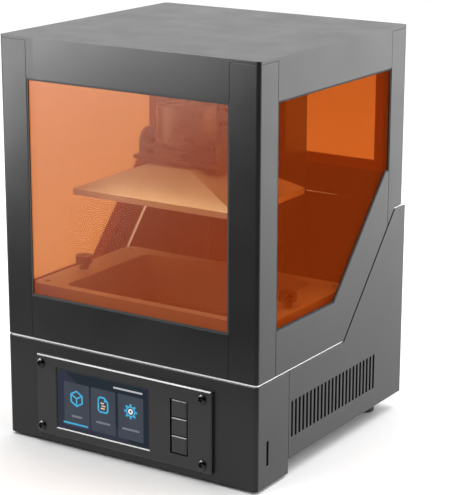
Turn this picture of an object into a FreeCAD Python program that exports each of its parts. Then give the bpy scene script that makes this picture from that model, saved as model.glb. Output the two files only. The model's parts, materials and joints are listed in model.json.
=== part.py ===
"""Resin printer: a base with a riser, a hinged windowed cover, a resin vat and a lifting build plate.

Millimetres, +Z up, +X to the right seen from the front, +Y to the back.
The origin is on the floor, in the middle of the machine's footprint.
Depths are counted from the front face of the casing towards the back.
"""
import FreeCAD, Part
import math
import os

import Sketcher

doc = FreeCAD.newDocument("ResinPrinter")
sheet = doc.addObject("Spreadsheet::Sheet", "Dims")
nodes = {}

DIMENSIONS = {
    # whole machine
    "body_width": 250.0, "rear_depth": 243.0, "bezel_proud": 5.5, "rear_proud": 3.5,
    "sheet_wall": 1.5, "corner_bend": 3.3, "panel_gap": 0.2,
    # base
    "foot_radius": 10.0, "foot_inset": 24.0, "skirt_low": 2.5, "casing_depth": 48.5,
    "side_low": 15.0, "base_top": 90.0, "deck_thick": 3.0,
    "riser_top": 187.5, "wing_low_depth": 137.8, "wing_high_depth": 224.1,
    "trim_inset": 1.5, "trim_width": 4.5, "trim_high": 1.2, "trim_lip": 0.8,
    "vent_width": 2.8, "vent_pitch": 6.0, "vent_count": 24, "vent_first": 53.7,
    "vent_low": 32.5, "vent_high": 63.5,
    "card_depth": 16.0, "card_width": 3.0, "card_low": 20.0, "card_high": 41.0,
    "socket_half": 3.2, "socket_gap": 1.4, "socket_long": 26.0, "socket_back": 4.0, "socket_rim": 1.5,
    "socket_foot": 12.0,
    # bezel, display and buttons
    "bezel_left": -92.5, "bezel_right": 84.3, "bezel_low": 9.7, "bezel_high": 79.9,
    "bezel_thick": 3.5, "bezel_bevel": 1.0,
    "display_left": -71.4, "display_right": 23.4, "display_low": 17.9, "display_high": 70.6,
    "display_sunk": 1.2, "glass_thick": 1.8, "fit_gap": 0.2,
    "opening_left": 5.6, "opening_low": 2.9, "opening_right": 4.3, "opening_high": 2.4,
    "board_left": 4.0, "board_low": 0.6, "board_right": 3.0, "board_high": 1.4, "switch_proud": 0.7,
    "button_left": 45.5, "button_width": 15.2, "button_high": 14.9, "button_pitch": 15.5,
    "button_side_gap": 1.1, "button_end_gap": 0.6, "button_low": 20.9, "button_long": 5.0,
    "button_bevel": 0.8, "display_bevel": 0.8, "board_depth": 3.2, "switch_radius": 1.75,
    "screw_spread": 163.0, "screw_centre": -6.2, "screw_low": 16.5, "screw_high": 72.3,
    "bezel_head_radius": 4.3, "bezel_head_high": 2.0, "bezel_shank_radius": 2.0,
    # cover
    "cover_low": 91.8, "cover_depth": 238.0, "total_height": 346.5, "top_thick": 2.5,
    "post_width": 27.0, "window_high": 312.8, "window_low": 129.0,
    "diagonal_low_depth": 137.0, "diagonal_high_depth": 223.3, "cover_rear_low": 189.3,
    "glass_knee_depth": 119.0, "glass_heel_depth": 204.8, "glass_heel_high": 223.6,
    "acrylic_thick": 3.0, "acrylic_lap": 7.0, "fold_width": 8.0,
    "bumper_radius": 3.0, "bumper_high": 8.0, "bumper_gap": 0.1,
    # hinge
    "hinge_centre": 73.0, "hinge_width": 34.0, "knuckle_width": 10.0, "knuckle_radius": 3.0,
    "hinge_depth": 243.5, "hinge_high": 191.5, "leaf_thick": 1.6, "leaf_long": 22.0,
    "pin_radius": 1.25, "run_gap": 0.05, "side_play": 0.3, "leaf_drop": 4.0,
    # vat
    "vat_half": 115.5, "vat_front": 22.0, "vat_back": 163.0, "vat_top": 132.5,
    "flange_high": 10.0, "vat_wall_half": 96.0, "tank_half": 86.0, "tank_front": 30.5,
    "tank_back": 149.0, "vat_corner": 9.0, "film_thick": 0.4, "film_low": 91.8,
    "rail_inner": 98.0, "rail_outer": 113.0, "rail_inset": 8.0, "rail_bore": 30.0,
    "vat_hole_radius": 2.6, "vat_hole_side": 9.0, "vat_hole_end": 10.0, "vat_hole_deep": 6.0,
    "film_side": 2.0, "film_end": 3.0,
    "knob_offset": 103.8, "knob_depth": 80.0, "knob_radius": 7.35, "knob_high": 7.0,
    "knob_neck": 5.0, "knob_neck_radius": 4.0, "knob_shank_radius": 2.0, "knob_shank": 32.0,
    "knurl_radius": 0.45, "knob_lift": 0.1,
    # exposure unit
    "mask_corner": 2.0, "mask_half": 80.0, "mask_front": 40.0, "mask_back": 140.0, "mask_thick": 1.4,
    "light_half": 70.0, "light_front": 48.0, "light_back": 132.0, "lamp_low": 30.0,
    "board_thick": 1.6, "standoff_radius": 3.0, "lamp_radius": 3.0, "lamp_high": 3.0, "lamp_pitch": 17.5,
    "lamp_row": 15.0, "post_inset": 6.0, "post_end": 4.0,
    # main board
    "main_left": -110.0, "main_right": 35.0, "main_front": 145.0, "main_back": 220.0, "main_lift": 6.0,
    "cooler_left": -60.0, "cooler_right": -32.0, "cooler_front": 170.0, "cooler_back": 198.0,
    "cooler_high": 12.0, "plug_pitch": 18.0, "plug_width": 12.0, "plug_deep": 8.0, "plug_high": 9.0,
    "plug_inset": 4.0, "main_post_side": 5.0, "main_post_front": 14.0,
    # column and drive
    "column_half": 42.5, "column_front": 174.0, "column_back": 212.0, "column_top": 334.0,
    "column_wall": 3.0, "lip_width": 5.5, "rod_offset": 24.0, "rod_radius": 4.0,
    "axis_depth": 194.0, "top_block": 14.0, "low_block": 8.0,
    "screw_radius": 4.0, "screw_start": 100.0, "screw_end": 331.0, "coupler_radius": 9.5,
    "coupler_low": 93.0, "coupler_high": 110.0, "motor_half": 21.0, "motor_high": 38.0,
    "spindle_radius": 2.5, "spindle_deep": 18.0, "motor_boss": 11.0, "motor_corner": 4.0,
    "motor_bore": 20.0, "motor_plug_half": 8.0, "motor_plug_proud": 6.0, "motor_plug_low": 2.0,
    "motor_plug_high": 10.0, "coupler_cut": 1.2, "coupler_cut_deep": 8.0,
    "sensor_inset": 9.0, "sensor_width": 10.0, "sensor_low": 140.0, "sensor_high": 158.0,
    "sensor_plate": 1.5, "fork_reach": 9.0, "fork_low": 150.0, "fork_high": 157.0, "fork_wall": 3.0,
    "fork_pitch": 5.0, "fork_bar_low": 147.0, "fork_bar_reach": 4.0,
    # carriage, arm and head
    "block_half": 33.0, "block_front": 182.0, "block_back": 206.0, "block_low": 232.0,
    "block_top": 268.0, "bearing_radius": 7.5, "bearing_long": 24.0,
    "nut_radius": 5.0, "nut_flange": 11.0, "nut_flange_high": 4.0, "nut_long": 19.0,
    "arm_half": 26.0, "arm_front": 113.0, "arm_low": 254.0, "arm_top": 266.0, "arm_wall": 4.0,
    "head_half": 36.0, "head_front": 74.0, "head_back": 135.0, "head_low": 244.5,
    "head_top": 254.0, "cup_radius": 17.0, "cup_low": 234.0,
    "nose_half": 22.0, "nose_front": 62.0, "lip_proud": 2.5, "lip_high": 2.0,
    "ball_radius": 10.0, "ball_high": 238.5, "head_depth": 87.0,
    "ear_wall": 3.7, "ear_half": 11.6, "ear_low": 237.6, "ear_axis": 253.7, "ear_gap": 0.3,
    "cradle_half": 20.0, "cradle_low": 241.5,
    "top_screw_side": 31.0, "top_screw_front": 80.0, "top_screw_back": 128.0,
    "front_screw_side": 17.0, "front_screw_lift": 5.75,
    "arm_screw_side": 14.0, "arm_screw_front": 121.0, "arm_screw_back": 174.0,
    # build plate and its knob
    "plate_half": 80.5, "plate_front": 35.5, "plate_back": 145.5, "plate_top": 216.3,
    "plate_thick": 5.0, "slope_top": 240.0, "slope_half": 21.5, "slope_front": 60.0,
    "slope_back": 114.0, "well_radius": 20.0, "well_low": 222.0, "foot_half": 13.0, "foot_thick": 4.0,
    "neck_radius": 5.0, "big_knob_radius": 25.0, "big_knob_low": 256.0, "big_knob_top": 290.0,
    "knob_round": 2.5, "dish_rim": 6.0, "dish_deep": 1.5, "knob_neck_wide": 10.0,
    "clamp_radius": 5.0, "cap_head_radius": 3.5, "cap_head_high": 3.0, "cap_shank_radius": 1.9,
    "cap_shank": 6.0,
    "hex_radius": 1.8,
    # rear panel fittings
    "fan_offset": -70.0, "fan_high": 50.0, "fan_half": 30.0, "fan_deep": 15.0,
    "fan_bore": 28.0, "rotor_radius": 26.5, "hub_radius": 12.0, "fan_pin_radius": 1.5,
    "blade_thick": 1.2, "blade_chord": 12.0, "blade_sink": 1.2, "grille_slot": 4.0,
    "grille_pitch": 7.5, "grille_margin": 1.0, "rotor_clear": 0.8, "fan_pin_short": 4.0,
    "inlet_left": 48.0, "inlet_right": 104.0, "inlet_low": 34.0, "inlet_high": 62.0,
    "inlet_lip": 3.0, "inlet_deep": 25.0, "flange_thick": 2.0,
    "plug_hole_left": 73.0, "plug_hole_right": 97.0, "plug_hole_low": 40.0, "plug_hole_high": 56.0,
    "plug_hole_deep": 14.0, "earth_pin": 85.0, "pin_pitch": 7.0, "pin_low": 46.5, "pin_high": 50.5,
    "blade_half": 1.0, "blade_reach": 2.0, "blade_long": 12.0, "blade_root": 15.0,
    "rocker_left": 55.5, "rocker_right": 67.5, "rocker_high": 48.0, "rocker_half": 7.0,
    "rocker_proud": 3.0, "rocker_waist": 1.2, "rocker_rest": 1.6, "rocker_root": 4.5,
    "switch_gap": 0.5, "switch_half": 8.5, "switch_deep": 7.0,
    "pivot_radius": 1.0, "pivot_long": 1.5, "pivot_deep": 3.0, "pivot_play": 0.3,
}

BLADE_COUNT = 7
BLADE_PITCH = 50        # degrees
BUTTON_COUNT = 3
GRILLE_ROWS = 7
LAMP_COLUMNS = 7
LAMP_ROWS = 5
BOARD_PLUGS = 5
KNURL_COUNT = 24
OVER = 1.0              # how far a cutting tool runs past the face that it cuts
MERGE = 0.5             # how far joined solids reach into each other
NEAR = 0.1              # how close a point counts as lying on a face


class Size:
    """A length that carries both its value and the expression that gives it in the sheet."""

    def __init__(self, value, text):
        self.value = value
        self.text = text

    def __add__(self, other):
        other = as_size(other)
        return Size(self.value + other.value, f"({self.text} + {other.text})")

    def __sub__(self, other):
        other = as_size(other)
        return Size(self.value - other.value, f"({self.text} - {other.text})")

    def __mul__(self, other):
        other = as_size(other)
        return Size(self.value * other.value, f"({self.text} * {other.text})")

    def __truediv__(self, other):
        other = as_size(other)
        return Size(self.value / other.value, f"({self.text} / {other.text})")

    def __radd__(self, other):
        return as_size(other) + self

    def __rsub__(self, other):
        return as_size(other) - self

    def __rmul__(self, other):
        return as_size(other) * self

    def __neg__(self):
        return as_size(0) - self


def as_size(value):
    return value if isinstance(value, Size) else Size(float(value), f"{float(value)}")


class Dims:
    """The driving dimensions, each an attribute that names its cell's alias."""


def fill_sheet():
    dims = Dims()
    for row, (name, value) in enumerate(DIMENSIONS.items(), start=1):
        sheet.set(f"A{row}", name)
        sheet.set(f"B{row}", str(value))
        sheet.setAlias(f"B{row}", name)
        setattr(dims, name, Size(value, f"Dims.{name}"))
    doc.recompute()
    return dims


d = fill_sheet()
half_width = d.body_width / 2
front = (d.bezel_proud - d.rear_depth - d.rear_proud) / 2   # Y of the casing's front face


def deep(distance):
    """Y of a place that lies this far behind the front face."""
    return front + distance


# ---------------------------------------------------------------- drawing tools

def bind(piece, prop, value):
    piece.setExpression(prop, as_size(value).text)


def place(piece, x, y, z):
    for letter, value in zip("xyz", (x, y, z)):
        bind(piece, f"Placement.Base.{letter}", value)
    return piece


def keep(name, piece):
    """Make this piece a node of the machine, under its own name."""
    piece.Label = name
    nodes[name] = piece
    return piece


def box(low, high, name="Block"):
    piece = doc.addObject("Part::Box", name)
    low = [as_size(value) for value in low]
    high = [as_size(value) for value in high]
    for prop, start, end in zip(("Length", "Width", "Height"), low, high):
        bind(piece, prop, end - start)
    return place(piece, *low)


TURN = {
    "x": FreeCAD.Rotation(FreeCAD.Vector(0, 1, 0), 90),
    "y": FreeCAD.Rotation(FreeCAD.Vector(1, 0, 0), -90),
    "z": FreeCAD.Rotation(),
}


def rod(start, radius, long, along="z", name="Rod"):
    """A cylinder that starts at a point and runs towards the positive end of an axis."""
    piece = doc.addObject("Part::Cylinder", name)
    bind(piece, "Radius", radius)
    bind(piece, "Height", long)
    piece.Placement = FreeCAD.Placement(FreeCAD.Vector(), TURN[along])
    return place(piece, *start)


def ball(centre, radius, name="Ball"):
    piece = doc.addObject("Part::Sphere", name)
    bind(piece, "Radius", radius)
    return place(piece, *centre)


def fuse(pieces, name="Union"):
    piece = doc.addObject("Part::MultiFuse", name)
    piece.Shapes = pieces
    piece.Refine = True
    return piece


def group(pieces, name="Group"):
    piece = doc.addObject("Part::Compound", name)
    piece.Links = pieces
    return piece


def cut(base, tools, name="Difference"):
    piece = doc.addObject("Part::Cut", name)
    piece.Base = base
    piece.Tool = group(tools, f"{name}Tools") if len(tools) > 1 else tools[0]
    return piece


def origin_plane(body, role):
    return next(item for item in body.Origin.OriginFeatures if item.Role == role)


def outline(body, role, points, offset, name="Outline"):
    """A closed sketch of straight lines whose corners are held at the given sizes."""
    sketch = body.newObject("Sketcher::SketchObject", name)
    sketch.AttachmentSupport = [(origin_plane(body, role), "")]
    sketch.MapMode = "FlatFace"
    bind(sketch, "AttachmentOffset.Base.z", offset)
    corners = [(as_size(u), as_size(v)) for u, v in points]
    vectors = [FreeCAD.Vector(u.value, v.value, 0) for u, v in corners]
    for index, start in enumerate(vectors):
        sketch.addGeometry(Part.LineSegment(start, vectors[(index + 1) % len(vectors)]), False)
    for index in range(len(vectors)):
        following = (index + 1) % len(vectors)
        sketch.addConstraint(Sketcher.Constraint("Coincident", index, 2, following, 1))
    for index, corner in enumerate(corners):
        for kind, value in zip(("DistanceX", "DistanceY"), corner):
            held = sketch.addConstraint(Sketcher.Constraint(kind, -1, 1, index, 1, value.value))
            sketch.setExpression(f"Constraints[{held}]", value.text)
    return sketch


def slab(role, points, low, high, name="Plate"):
    """A body padded from an outline, between two places along the outline's normal."""
    body = doc.addObject("PartDesign::Body", name)
    doc.recompute()
    start = -as_size(high) if role == "XZ_Plane" else low
    sketch = outline(body, role, points, start)
    pad = body.newObject("PartDesign::Pad", f"{name}Pad")
    pad.Profile = sketch
    bind(pad, "Length", as_size(high) - as_size(low))
    return body


def straight_edges(shape, axis, wanted):
    """Names of the straight edges along an axis whose middle point is wanted."""
    names = []
    for number, edge in enumerate(shape.Edges, start=1):
        box_sizes = (edge.BoundBox.XLength, edge.BoundBox.YLength, edge.BoundBox.ZLength)
        across = [size for index, size in enumerate(box_sizes) if index != "xyz".index(axis)]
        if max(across) < 1e-4 and wanted(edge.BoundBox.Center):
            names.append(f"Edge{number}")
    return names


def soften(body, radius, axis, wanted, kind="Fillet"):
    """Round or bevel the edges of a body that lie along an axis."""
    doc.recompute()
    base = body.Tip
    feature = body.newObject(f"PartDesign::{kind}", f"{kind}")
    feature.Base = (base, straight_edges(base.Shape, axis, wanted))
    bind(feature, "Radius" if kind == "Fillet" else "Size", radius)
    return body


def dress(kind, source, size, wanted):
    """A fillet or chamfer of a finished solid, on the edges that the test picks out."""
    doc.recompute()
    dressed = doc.addObject(f"Part::{kind}", kind)
    dressed.Base = source
    dressed.Edges = [(number, size.value, size.value)
                     for number, edge in enumerate(source.Shape.Edges, start=1) if wanted(edge)]
    return dressed


def everywhere(point):
    return True


def rectangle(left, low, right, high):
    return [(left, low), (right, low), (right, high), (left, high)]


def mirror_pair(make, name):
    """The same piece on the left and on the right, as one group."""
    return group([make(-1), make(1)], name)


def span(side, inner, outer):
    """Low and high X of a stretch on one side of the middle plane."""
    near = side * inner
    far = side * outer
    return (near, far) if side > 0 else (far, near)


def cap_screw(place_at, along, out, head_radius, head_high, shank_radius, shank_long):
    """A socket screw whose head stands out of the face at place_at, towards +axis or -axis."""
    index = "xyz".index(along)

    def shifted(amount):
        point = list(place_at)
        point[index] = point[index] + amount
        return point

    head_start = shifted(0 if out > 0 else -as_size(head_high))
    shank_start = shifted(-as_size(shank_long) if out > 0 else 0)
    socket_start = shifted(as_size(head_high) / 2 if out > 0 else -as_size(head_high))
    head = rod(head_start, head_radius, head_high, along)
    shank = rod(shank_start, shank_radius, shank_long, along)
    socket = rod(socket_start, d.hex_radius, as_size(head_high) / 2, along)
    return cut(fuse([head, shank]), [socket], "Screw")


# ---------------------------------------------------------------- base shells

def front_casing():
    wall = d.sheet_wall
    back = deep(d.casing_depth)
    profile = [(-half_width, back), (-half_width, front), (half_width, front), (half_width, back),
               (half_width - wall, back), (half_width - wall, front + wall),
               (-half_width + wall, front + wall), (-half_width + wall, back)]
    skirt = slab("XY_Plane", profile, d.skirt_low, d.base_top, "FrontCasingSheet")
    outer_y = front.value
    soften(skirt, d.corner_bend, "z", lambda point: abs(point.y - outer_y) < NEAR)
    inner_y = front.value + wall.value
    soften(skirt, d.corner_bend - wall, "z", lambda point: abs(point.y - inner_y) < NEAR)
    control_opening = box((d.display_left - d.opening_left, deep(-OVER), d.display_low - d.opening_low),
                          (d.button_left + d.button_width + d.opening_right, deep(wall + OVER),
                           d.display_high + d.opening_high))
    card_slot = box((half_width - wall - OVER, deep(d.card_depth - d.card_width / 2), d.card_low),
                    (half_width + OVER, deep(d.card_depth + d.card_width / 2), d.card_high))
    keep("front_casing", cut(skirt, [control_opening, card_slot], "FrontCasing"))


def side_panel(side, name):
    start = deep(d.casing_depth + d.panel_gap)
    profile = [(start, d.side_low), (deep(d.rear_depth), d.side_low), (deep(d.rear_depth), d.riser_top),
               (deep(d.wing_high_depth), d.riser_top), (deep(d.wing_low_depth), d.base_top),
               (start, d.base_top)]
    low, high = span(side, half_width - d.sheet_wall, half_width)
    body = slab("YZ_Plane", profile, low, high, "SidePanel")
    doc.recompute()
    slot = rectangle(deep(d.vent_first - d.vent_width / 2), d.vent_low,
                     deep(d.vent_first + d.vent_width / 2), d.vent_high)
    sketch = outline(body, "YZ_Plane", slot, high, "VentSlot")
    pocket = body.newObject("PartDesign::Pocket", "Vent")
    pocket.Profile = sketch
    bind(pocket, "Length", d.sheet_wall)
    row = body.newObject("PartDesign::LinearPattern", "Vents")
    row.Originals = [pocket]
    row.Direction = (sketch, ["H_Axis"])
    bind(row, "Length", d.vent_pitch * (d.vent_count - 1))
    bind(row, "Occurrences", d.vent_count)
    body.Tip = row
    keep(name, body)


def rear_panel():
    reach = half_width - d.sheet_wall - d.panel_gap
    low_y = deep(d.rear_depth - d.sheet_wall)
    high_y = deep(d.rear_depth)
    sheet_body = slab("XZ_Plane", rectangle(-reach, d.side_low, reach, d.riser_top), low_y, high_y,
                      "RearSheet")
    lip = d.inlet_lip - d.fit_gap
    cuts = [box((d.inlet_left + lip, low_y - OVER, d.inlet_low + lip),
                (d.inlet_right - lip, high_y + OVER, d.inlet_high - lip))]
    for row in range(GRILLE_ROWS):
        offset = (row - GRILLE_ROWS // 2) * d.grille_pitch.value
        middle = d.fan_high + offset
        half = math.sqrt(1 - (offset / d.fan_bore.value) ** 2) * (d.fan_bore - d.grille_margin)
        cuts.append(box((d.fan_offset - half, low_y - OVER, middle - d.grille_slot / 2),
                        (d.fan_offset + half, high_y + OVER, middle + d.grille_slot / 2)))
    keep("rear_panel", cut(sheet_body, cuts, "RearPanel"))


def base_pan():
    reach = half_width - d.sheet_wall - d.panel_gap
    plate = slab("XY_Plane", rectangle(-reach, deep(d.sheet_wall + d.panel_gap), reach,
                                       deep(d.rear_depth - d.sheet_wall - d.panel_gap)),
                 d.side_low, d.side_low + d.sheet_wall, "BasePan")
    soften(plate, d.corner_bend, "z", everywhere)
    keep("base_pan", plate)


def deck_plate():
    reach = half_width - d.sheet_wall - d.panel_gap
    plate = slab("XY_Plane", rectangle(-reach, deep(d.sheet_wall + d.panel_gap), reach,
                                       deep(d.rear_depth - d.sheet_wall - d.panel_gap)),
                 d.base_top - d.deck_thick, d.base_top, "DeckSheet")
    soften(plate, d.corner_bend - d.sheet_wall, "z", everywhere)
    light = box((-d.light_half, deep(d.light_front), d.base_top - d.deck_thick - OVER),
                (d.light_half, deep(d.light_back), d.base_top + OVER))
    drive = rod((0, deep(d.axis_depth), d.base_top - d.deck_thick - OVER), d.motor_boss + d.fit_gap,
                d.deck_thick + 2 * OVER)
    keep("deck_plate", cut(plate, [light, drive], "DeckPlate"))


def edge_trim():
    """The bright strip that shows in the gap between the base and the cover."""
    outer = half_width - d.trim_inset
    inner = outer - d.trim_width
    back = deep(d.wing_low_depth - d.trim_lip - OVER)
    ring = slab("XY_Plane", [(-outer, back), (-outer, deep(d.trim_inset)), (outer, deep(d.trim_inset)),
                             (outer, back), (inner, back), (inner, deep(d.trim_inset + d.trim_width)),
                             (-inner, deep(d.trim_inset + d.trim_width)), (-inner, back)],
                d.base_top, d.base_top + d.trim_high, "TrimRing")
    outer_y = front.value + d.trim_inset.value
    soften(ring, d.corner_bend, "z", lambda point: abs(point.y - outer_y) < NEAR)

    def diagonal(side):
        low, high = span(side, half_width - d.trim_inset - d.sheet_wall, half_width - d.trim_inset)
        lip = d.trim_lip
        profile = [(deep(d.wing_low_depth), d.base_top), (deep(d.wing_high_depth), d.riser_top),
                   (deep(d.rear_depth), d.riser_top), (deep(d.rear_depth), d.riser_top + lip),
                   (deep(d.wing_high_depth) - lip / 2, d.riser_top + lip),
                   (deep(d.wing_low_depth) - lip, d.base_top + lip / 2)]
        return slab("YZ_Plane", profile, low, high, "TrimDiagonal")

    keep("edge_trim", group([ring, diagonal(-1), diagonal(1)], "EdgeTrim"))


def rubber_feet():
    feet = []
    for x in (-half_width + d.foot_inset, half_width - d.foot_inset):
        for y in (deep(d.foot_inset), deep(d.rear_depth - d.foot_inset)):
            foot = rod((x, y, 0), d.foot_radius, d.side_low, name="Foot")
            dimple = rod((x, y, 0), d.foot_radius / 3, d.side_low / 5, name="Dimple")
            feet.append(cut(foot, [dimple], "RubberFoot"))
    keep("rubber_feet", group(feet, "RubberFeet"))


# ---------------------------------------------------------------- bezel, display and buttons

def bezel_screw_places():
    return [(d.screw_centre + side * d.screw_spread / 2, deep(-d.bezel_thick), z)
            for side in (-1, 1) for z in (d.screw_low, d.screw_high)]


def bezel_plate():
    plate = slab("XZ_Plane", rectangle(d.bezel_left, d.bezel_low, d.bezel_right, d.bezel_high),
                 deep(-d.bezel_thick), front, "BezelSheet")
    soften(plate, d.bezel_bevel, "y", everywhere)
    outer_y = front.value - d.bezel_thick.value
    soften(plate, d.bezel_bevel, "x", lambda point: abs(point.y - outer_y) < NEAR, "Chamfer")
    near = deep(-d.bezel_thick - OVER)
    far = deep(OVER)
    display = box((d.display_left, near, d.display_low), (d.display_right, far, d.display_high))
    column_high = (BUTTON_COUNT - 1) * d.button_pitch + d.button_high
    buttons = box((d.button_left - d.button_side_gap, near, d.button_low - d.button_end_gap),
                  (d.button_left + d.button_width + d.button_side_gap, far,
                   d.button_low + column_high + d.button_end_gap))
    holes = [rod((x, near, z), d.bezel_shank_radius + d.fit_gap, d.bezel_thick + 2 * OVER, "y")
             for x, _, z in bezel_screw_places()]
    cut_plate = cut(plate, [display, buttons] + holes, "CutBezel")

    def frames_display(edge):
        bounds = edge.BoundBox
        return (bounds.YMax < outer_y + NEAR and bounds.XMin > d.display_left.value - NEAR
                and bounds.XMax < d.display_right.value + NEAR and len(edge.Vertexes) > 1)

    keep("bezel_plate", dress("Chamfer", cut_plate, d.display_bevel, frames_display))


def bezel_screws():
    screws = [cap_screw(point, "y", -1, d.bezel_head_radius, d.bezel_head_high,
                        d.bezel_shank_radius, d.bezel_thick - d.fit_gap)
              for point in bezel_screw_places()]
    keep("bezel_screws", group(screws, "BezelScrews"))


def display_glass():
    gap = d.fit_gap
    start = d.display_sunk - d.bezel_thick
    glass = slab("XZ_Plane", rectangle(d.display_left + gap, d.display_low + gap,
                                       d.display_right - gap, d.display_high - gap),
                 deep(start), deep(start + d.glass_thick), "DisplayGlass")
    keep("display_glass", glass)


def control_board():
    """The display's module and the board that the three push buttons press on."""
    back = d.board_depth
    board = box((d.display_left - d.board_left, deep(back), d.display_low - d.board_low),
                (d.button_left + d.button_width + d.board_right, deep(back + d.board_thick),
                 d.display_high + d.board_high))
    module = box((d.display_left + d.fit_gap, deep(d.display_sunk - d.bezel_thick + d.glass_thick),
                  d.display_low + d.fit_gap),
                 (d.display_right - d.fit_gap, deep(back), d.display_high - d.fit_gap))
    pieces = [board, module]
    for index in range(BUTTON_COUNT):
        middle = d.button_low + index * d.button_pitch + d.button_high / 2
        pieces.append(rod((d.button_left + d.button_width / 2, deep(back - d.switch_proud), middle),
                          d.switch_radius, d.board_thick, "y"))
    keep("control_board", fuse(pieces, "ControlBoard"))


def push_button(index):
    low = d.button_low + index * d.button_pitch
    body = slab("XZ_Plane", rectangle(d.button_left, low, d.button_left + d.button_width,
                                      low + d.button_high),
                deep(-d.bezel_thick), deep(d.button_long - d.bezel_thick), f"PushButton{index + 1}")
    outer_y = front.value - d.bezel_thick.value
    keep(f"button_{index + 1}",
         dress("Chamfer", body, d.button_bevel, lambda edge: edge.BoundBox.YMax < outer_y + NEAR))


# ---------------------------------------------------------------- exposure unit and electronics

def mask_screen():
    panel = slab("XY_Plane", rectangle(-d.mask_half, deep(d.mask_front), d.mask_half, deep(d.mask_back)),
                 d.base_top, d.base_top + d.mask_thick, "MaskScreen")
    soften(panel, d.mask_corner, "z", everywhere)
    keep("mask_screen", panel)


def lamp_housing():
    wall = d.sheet_wall
    low = d.lamp_low
    high = d.base_top - d.deck_thick
    outer = box((-d.light_half - wall, deep(d.light_front - wall), low),
                (d.light_half + wall, deep(d.light_back + wall), high))
    inner = box((-d.light_half, deep(d.light_front), low - OVER),
                (d.light_half, deep(d.light_back), high + OVER))
    keep("lamp_housing", cut(outer, [inner], "LampHousing"))


def led_board():
    """The board of ultraviolet lamps, on four posts that stand on the base pan."""
    top = d.lamp_low
    reach = d.light_half + d.sheet_wall
    pieces = [box((-reach, deep(d.light_front - d.sheet_wall), top - d.board_thick),
                  (reach, deep(d.light_back + d.sheet_wall), top))]
    middle = (d.light_front + d.light_back) / 2
    for column in range(LAMP_COLUMNS):
        x = (column - LAMP_COLUMNS // 2) * d.lamp_pitch
        for row in range(LAMP_ROWS):
            depth = middle + (row - LAMP_ROWS // 2) * d.lamp_row
            pieces.append(rod((x, deep(depth), top - MERGE), d.lamp_radius, d.lamp_high))
    pan = d.side_low + d.sheet_wall
    for x in (-reach + d.post_inset, reach - d.post_inset):
        for depth in (d.light_front + d.post_end, d.light_back - d.post_end):
            pieces.append(rod((x, deep(depth), pan), d.standoff_radius, top - d.board_thick - pan + MERGE))
    keep("led_board", fuse(pieces, "LedBoard"))


def main_board():
    """The controller with its chip cooler, sockets and posts."""
    pan = d.side_low + d.sheet_wall
    low = pan + d.main_lift
    top = low + d.board_thick - d.fit_gap
    pieces = [box((d.main_left, deep(d.main_front), low),
                  (d.main_right, deep(d.main_back), low + d.board_thick)),
              box((d.cooler_left, deep(d.cooler_front), top),
                  (d.cooler_right, deep(d.cooler_back), top + d.cooler_high))]
    for index in range(BOARD_PLUGS):
        left = d.main_left + d.plug_inset + index * d.plug_pitch
        near = d.main_front + d.plug_inset / 2
        pieces.append(box((left, deep(near), top),
                          (left + d.plug_width, deep(near + d.plug_deep), top + d.plug_high)))
    for x in (d.main_left + d.main_post_side, d.main_right - d.main_post_side):
        for depth in (d.main_front + d.main_post_front, d.main_back - d.main_post_side):
            pieces.append(rod((x, deep(depth), pan), d.standoff_radius, low - pan + MERGE))
    keep("main_board", fuse(pieces, "MainBoard"))


def card_socket():
    """The reader behind the card slot, open towards the slot, with its fixing foot."""
    right = half_width - d.sheet_wall - d.panel_gap
    back = right - d.socket_long + d.socket_back
    shell = box((right - d.socket_long, deep(d.card_depth - d.socket_half), d.card_low - d.socket_rim),
                (right, deep(d.card_depth + d.socket_half), d.card_high + d.socket_rim))
    hollow = box((back, deep(d.card_depth - d.socket_gap), d.card_low),
                 (right + OVER, deep(d.card_depth + d.socket_gap), d.card_high))
    foot = box((back, deep(d.card_depth - d.socket_half), d.side_low + d.sheet_wall),
               (back + d.socket_foot, deep(d.card_depth + d.socket_half), d.card_low - MERGE))
    keep("card_socket", cut(fuse([shell, foot]), [hollow], "CardSocket"))


def fan_frame():
    back = d.rear_depth - d.sheet_wall
    start = back - d.fan_deep
    x = d.fan_offset
    z = d.fan_high
    half = d.fan_half
    square = box((x - half, deep(start), z - half), (x + half, deep(back), z + half))
    bore = rod((x, deep(start - OVER), z), d.fan_bore, d.fan_deep + 2 * OVER, "y")
    ring = cut(square, [bore], "FanRing")
    bar = d.sheet_wall
    reach = half - d.grille_margin
    cross = [box((x - reach, deep(start), z - bar), (x + reach, deep(start + bar), z + bar)),
             box((x - bar, deep(start), z - reach), (x + bar, deep(start + bar), z + reach))]
    hub = rod((x, deep(start), z), d.hub_radius, d.sheet_wall, "y")
    pin = rod((x, deep(start), z), d.fan_pin_radius, d.fan_deep - d.fan_pin_short, "y")
    keep("fan_frame", fuse([ring] + cross + [hub, pin], "FanFrame"))


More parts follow.
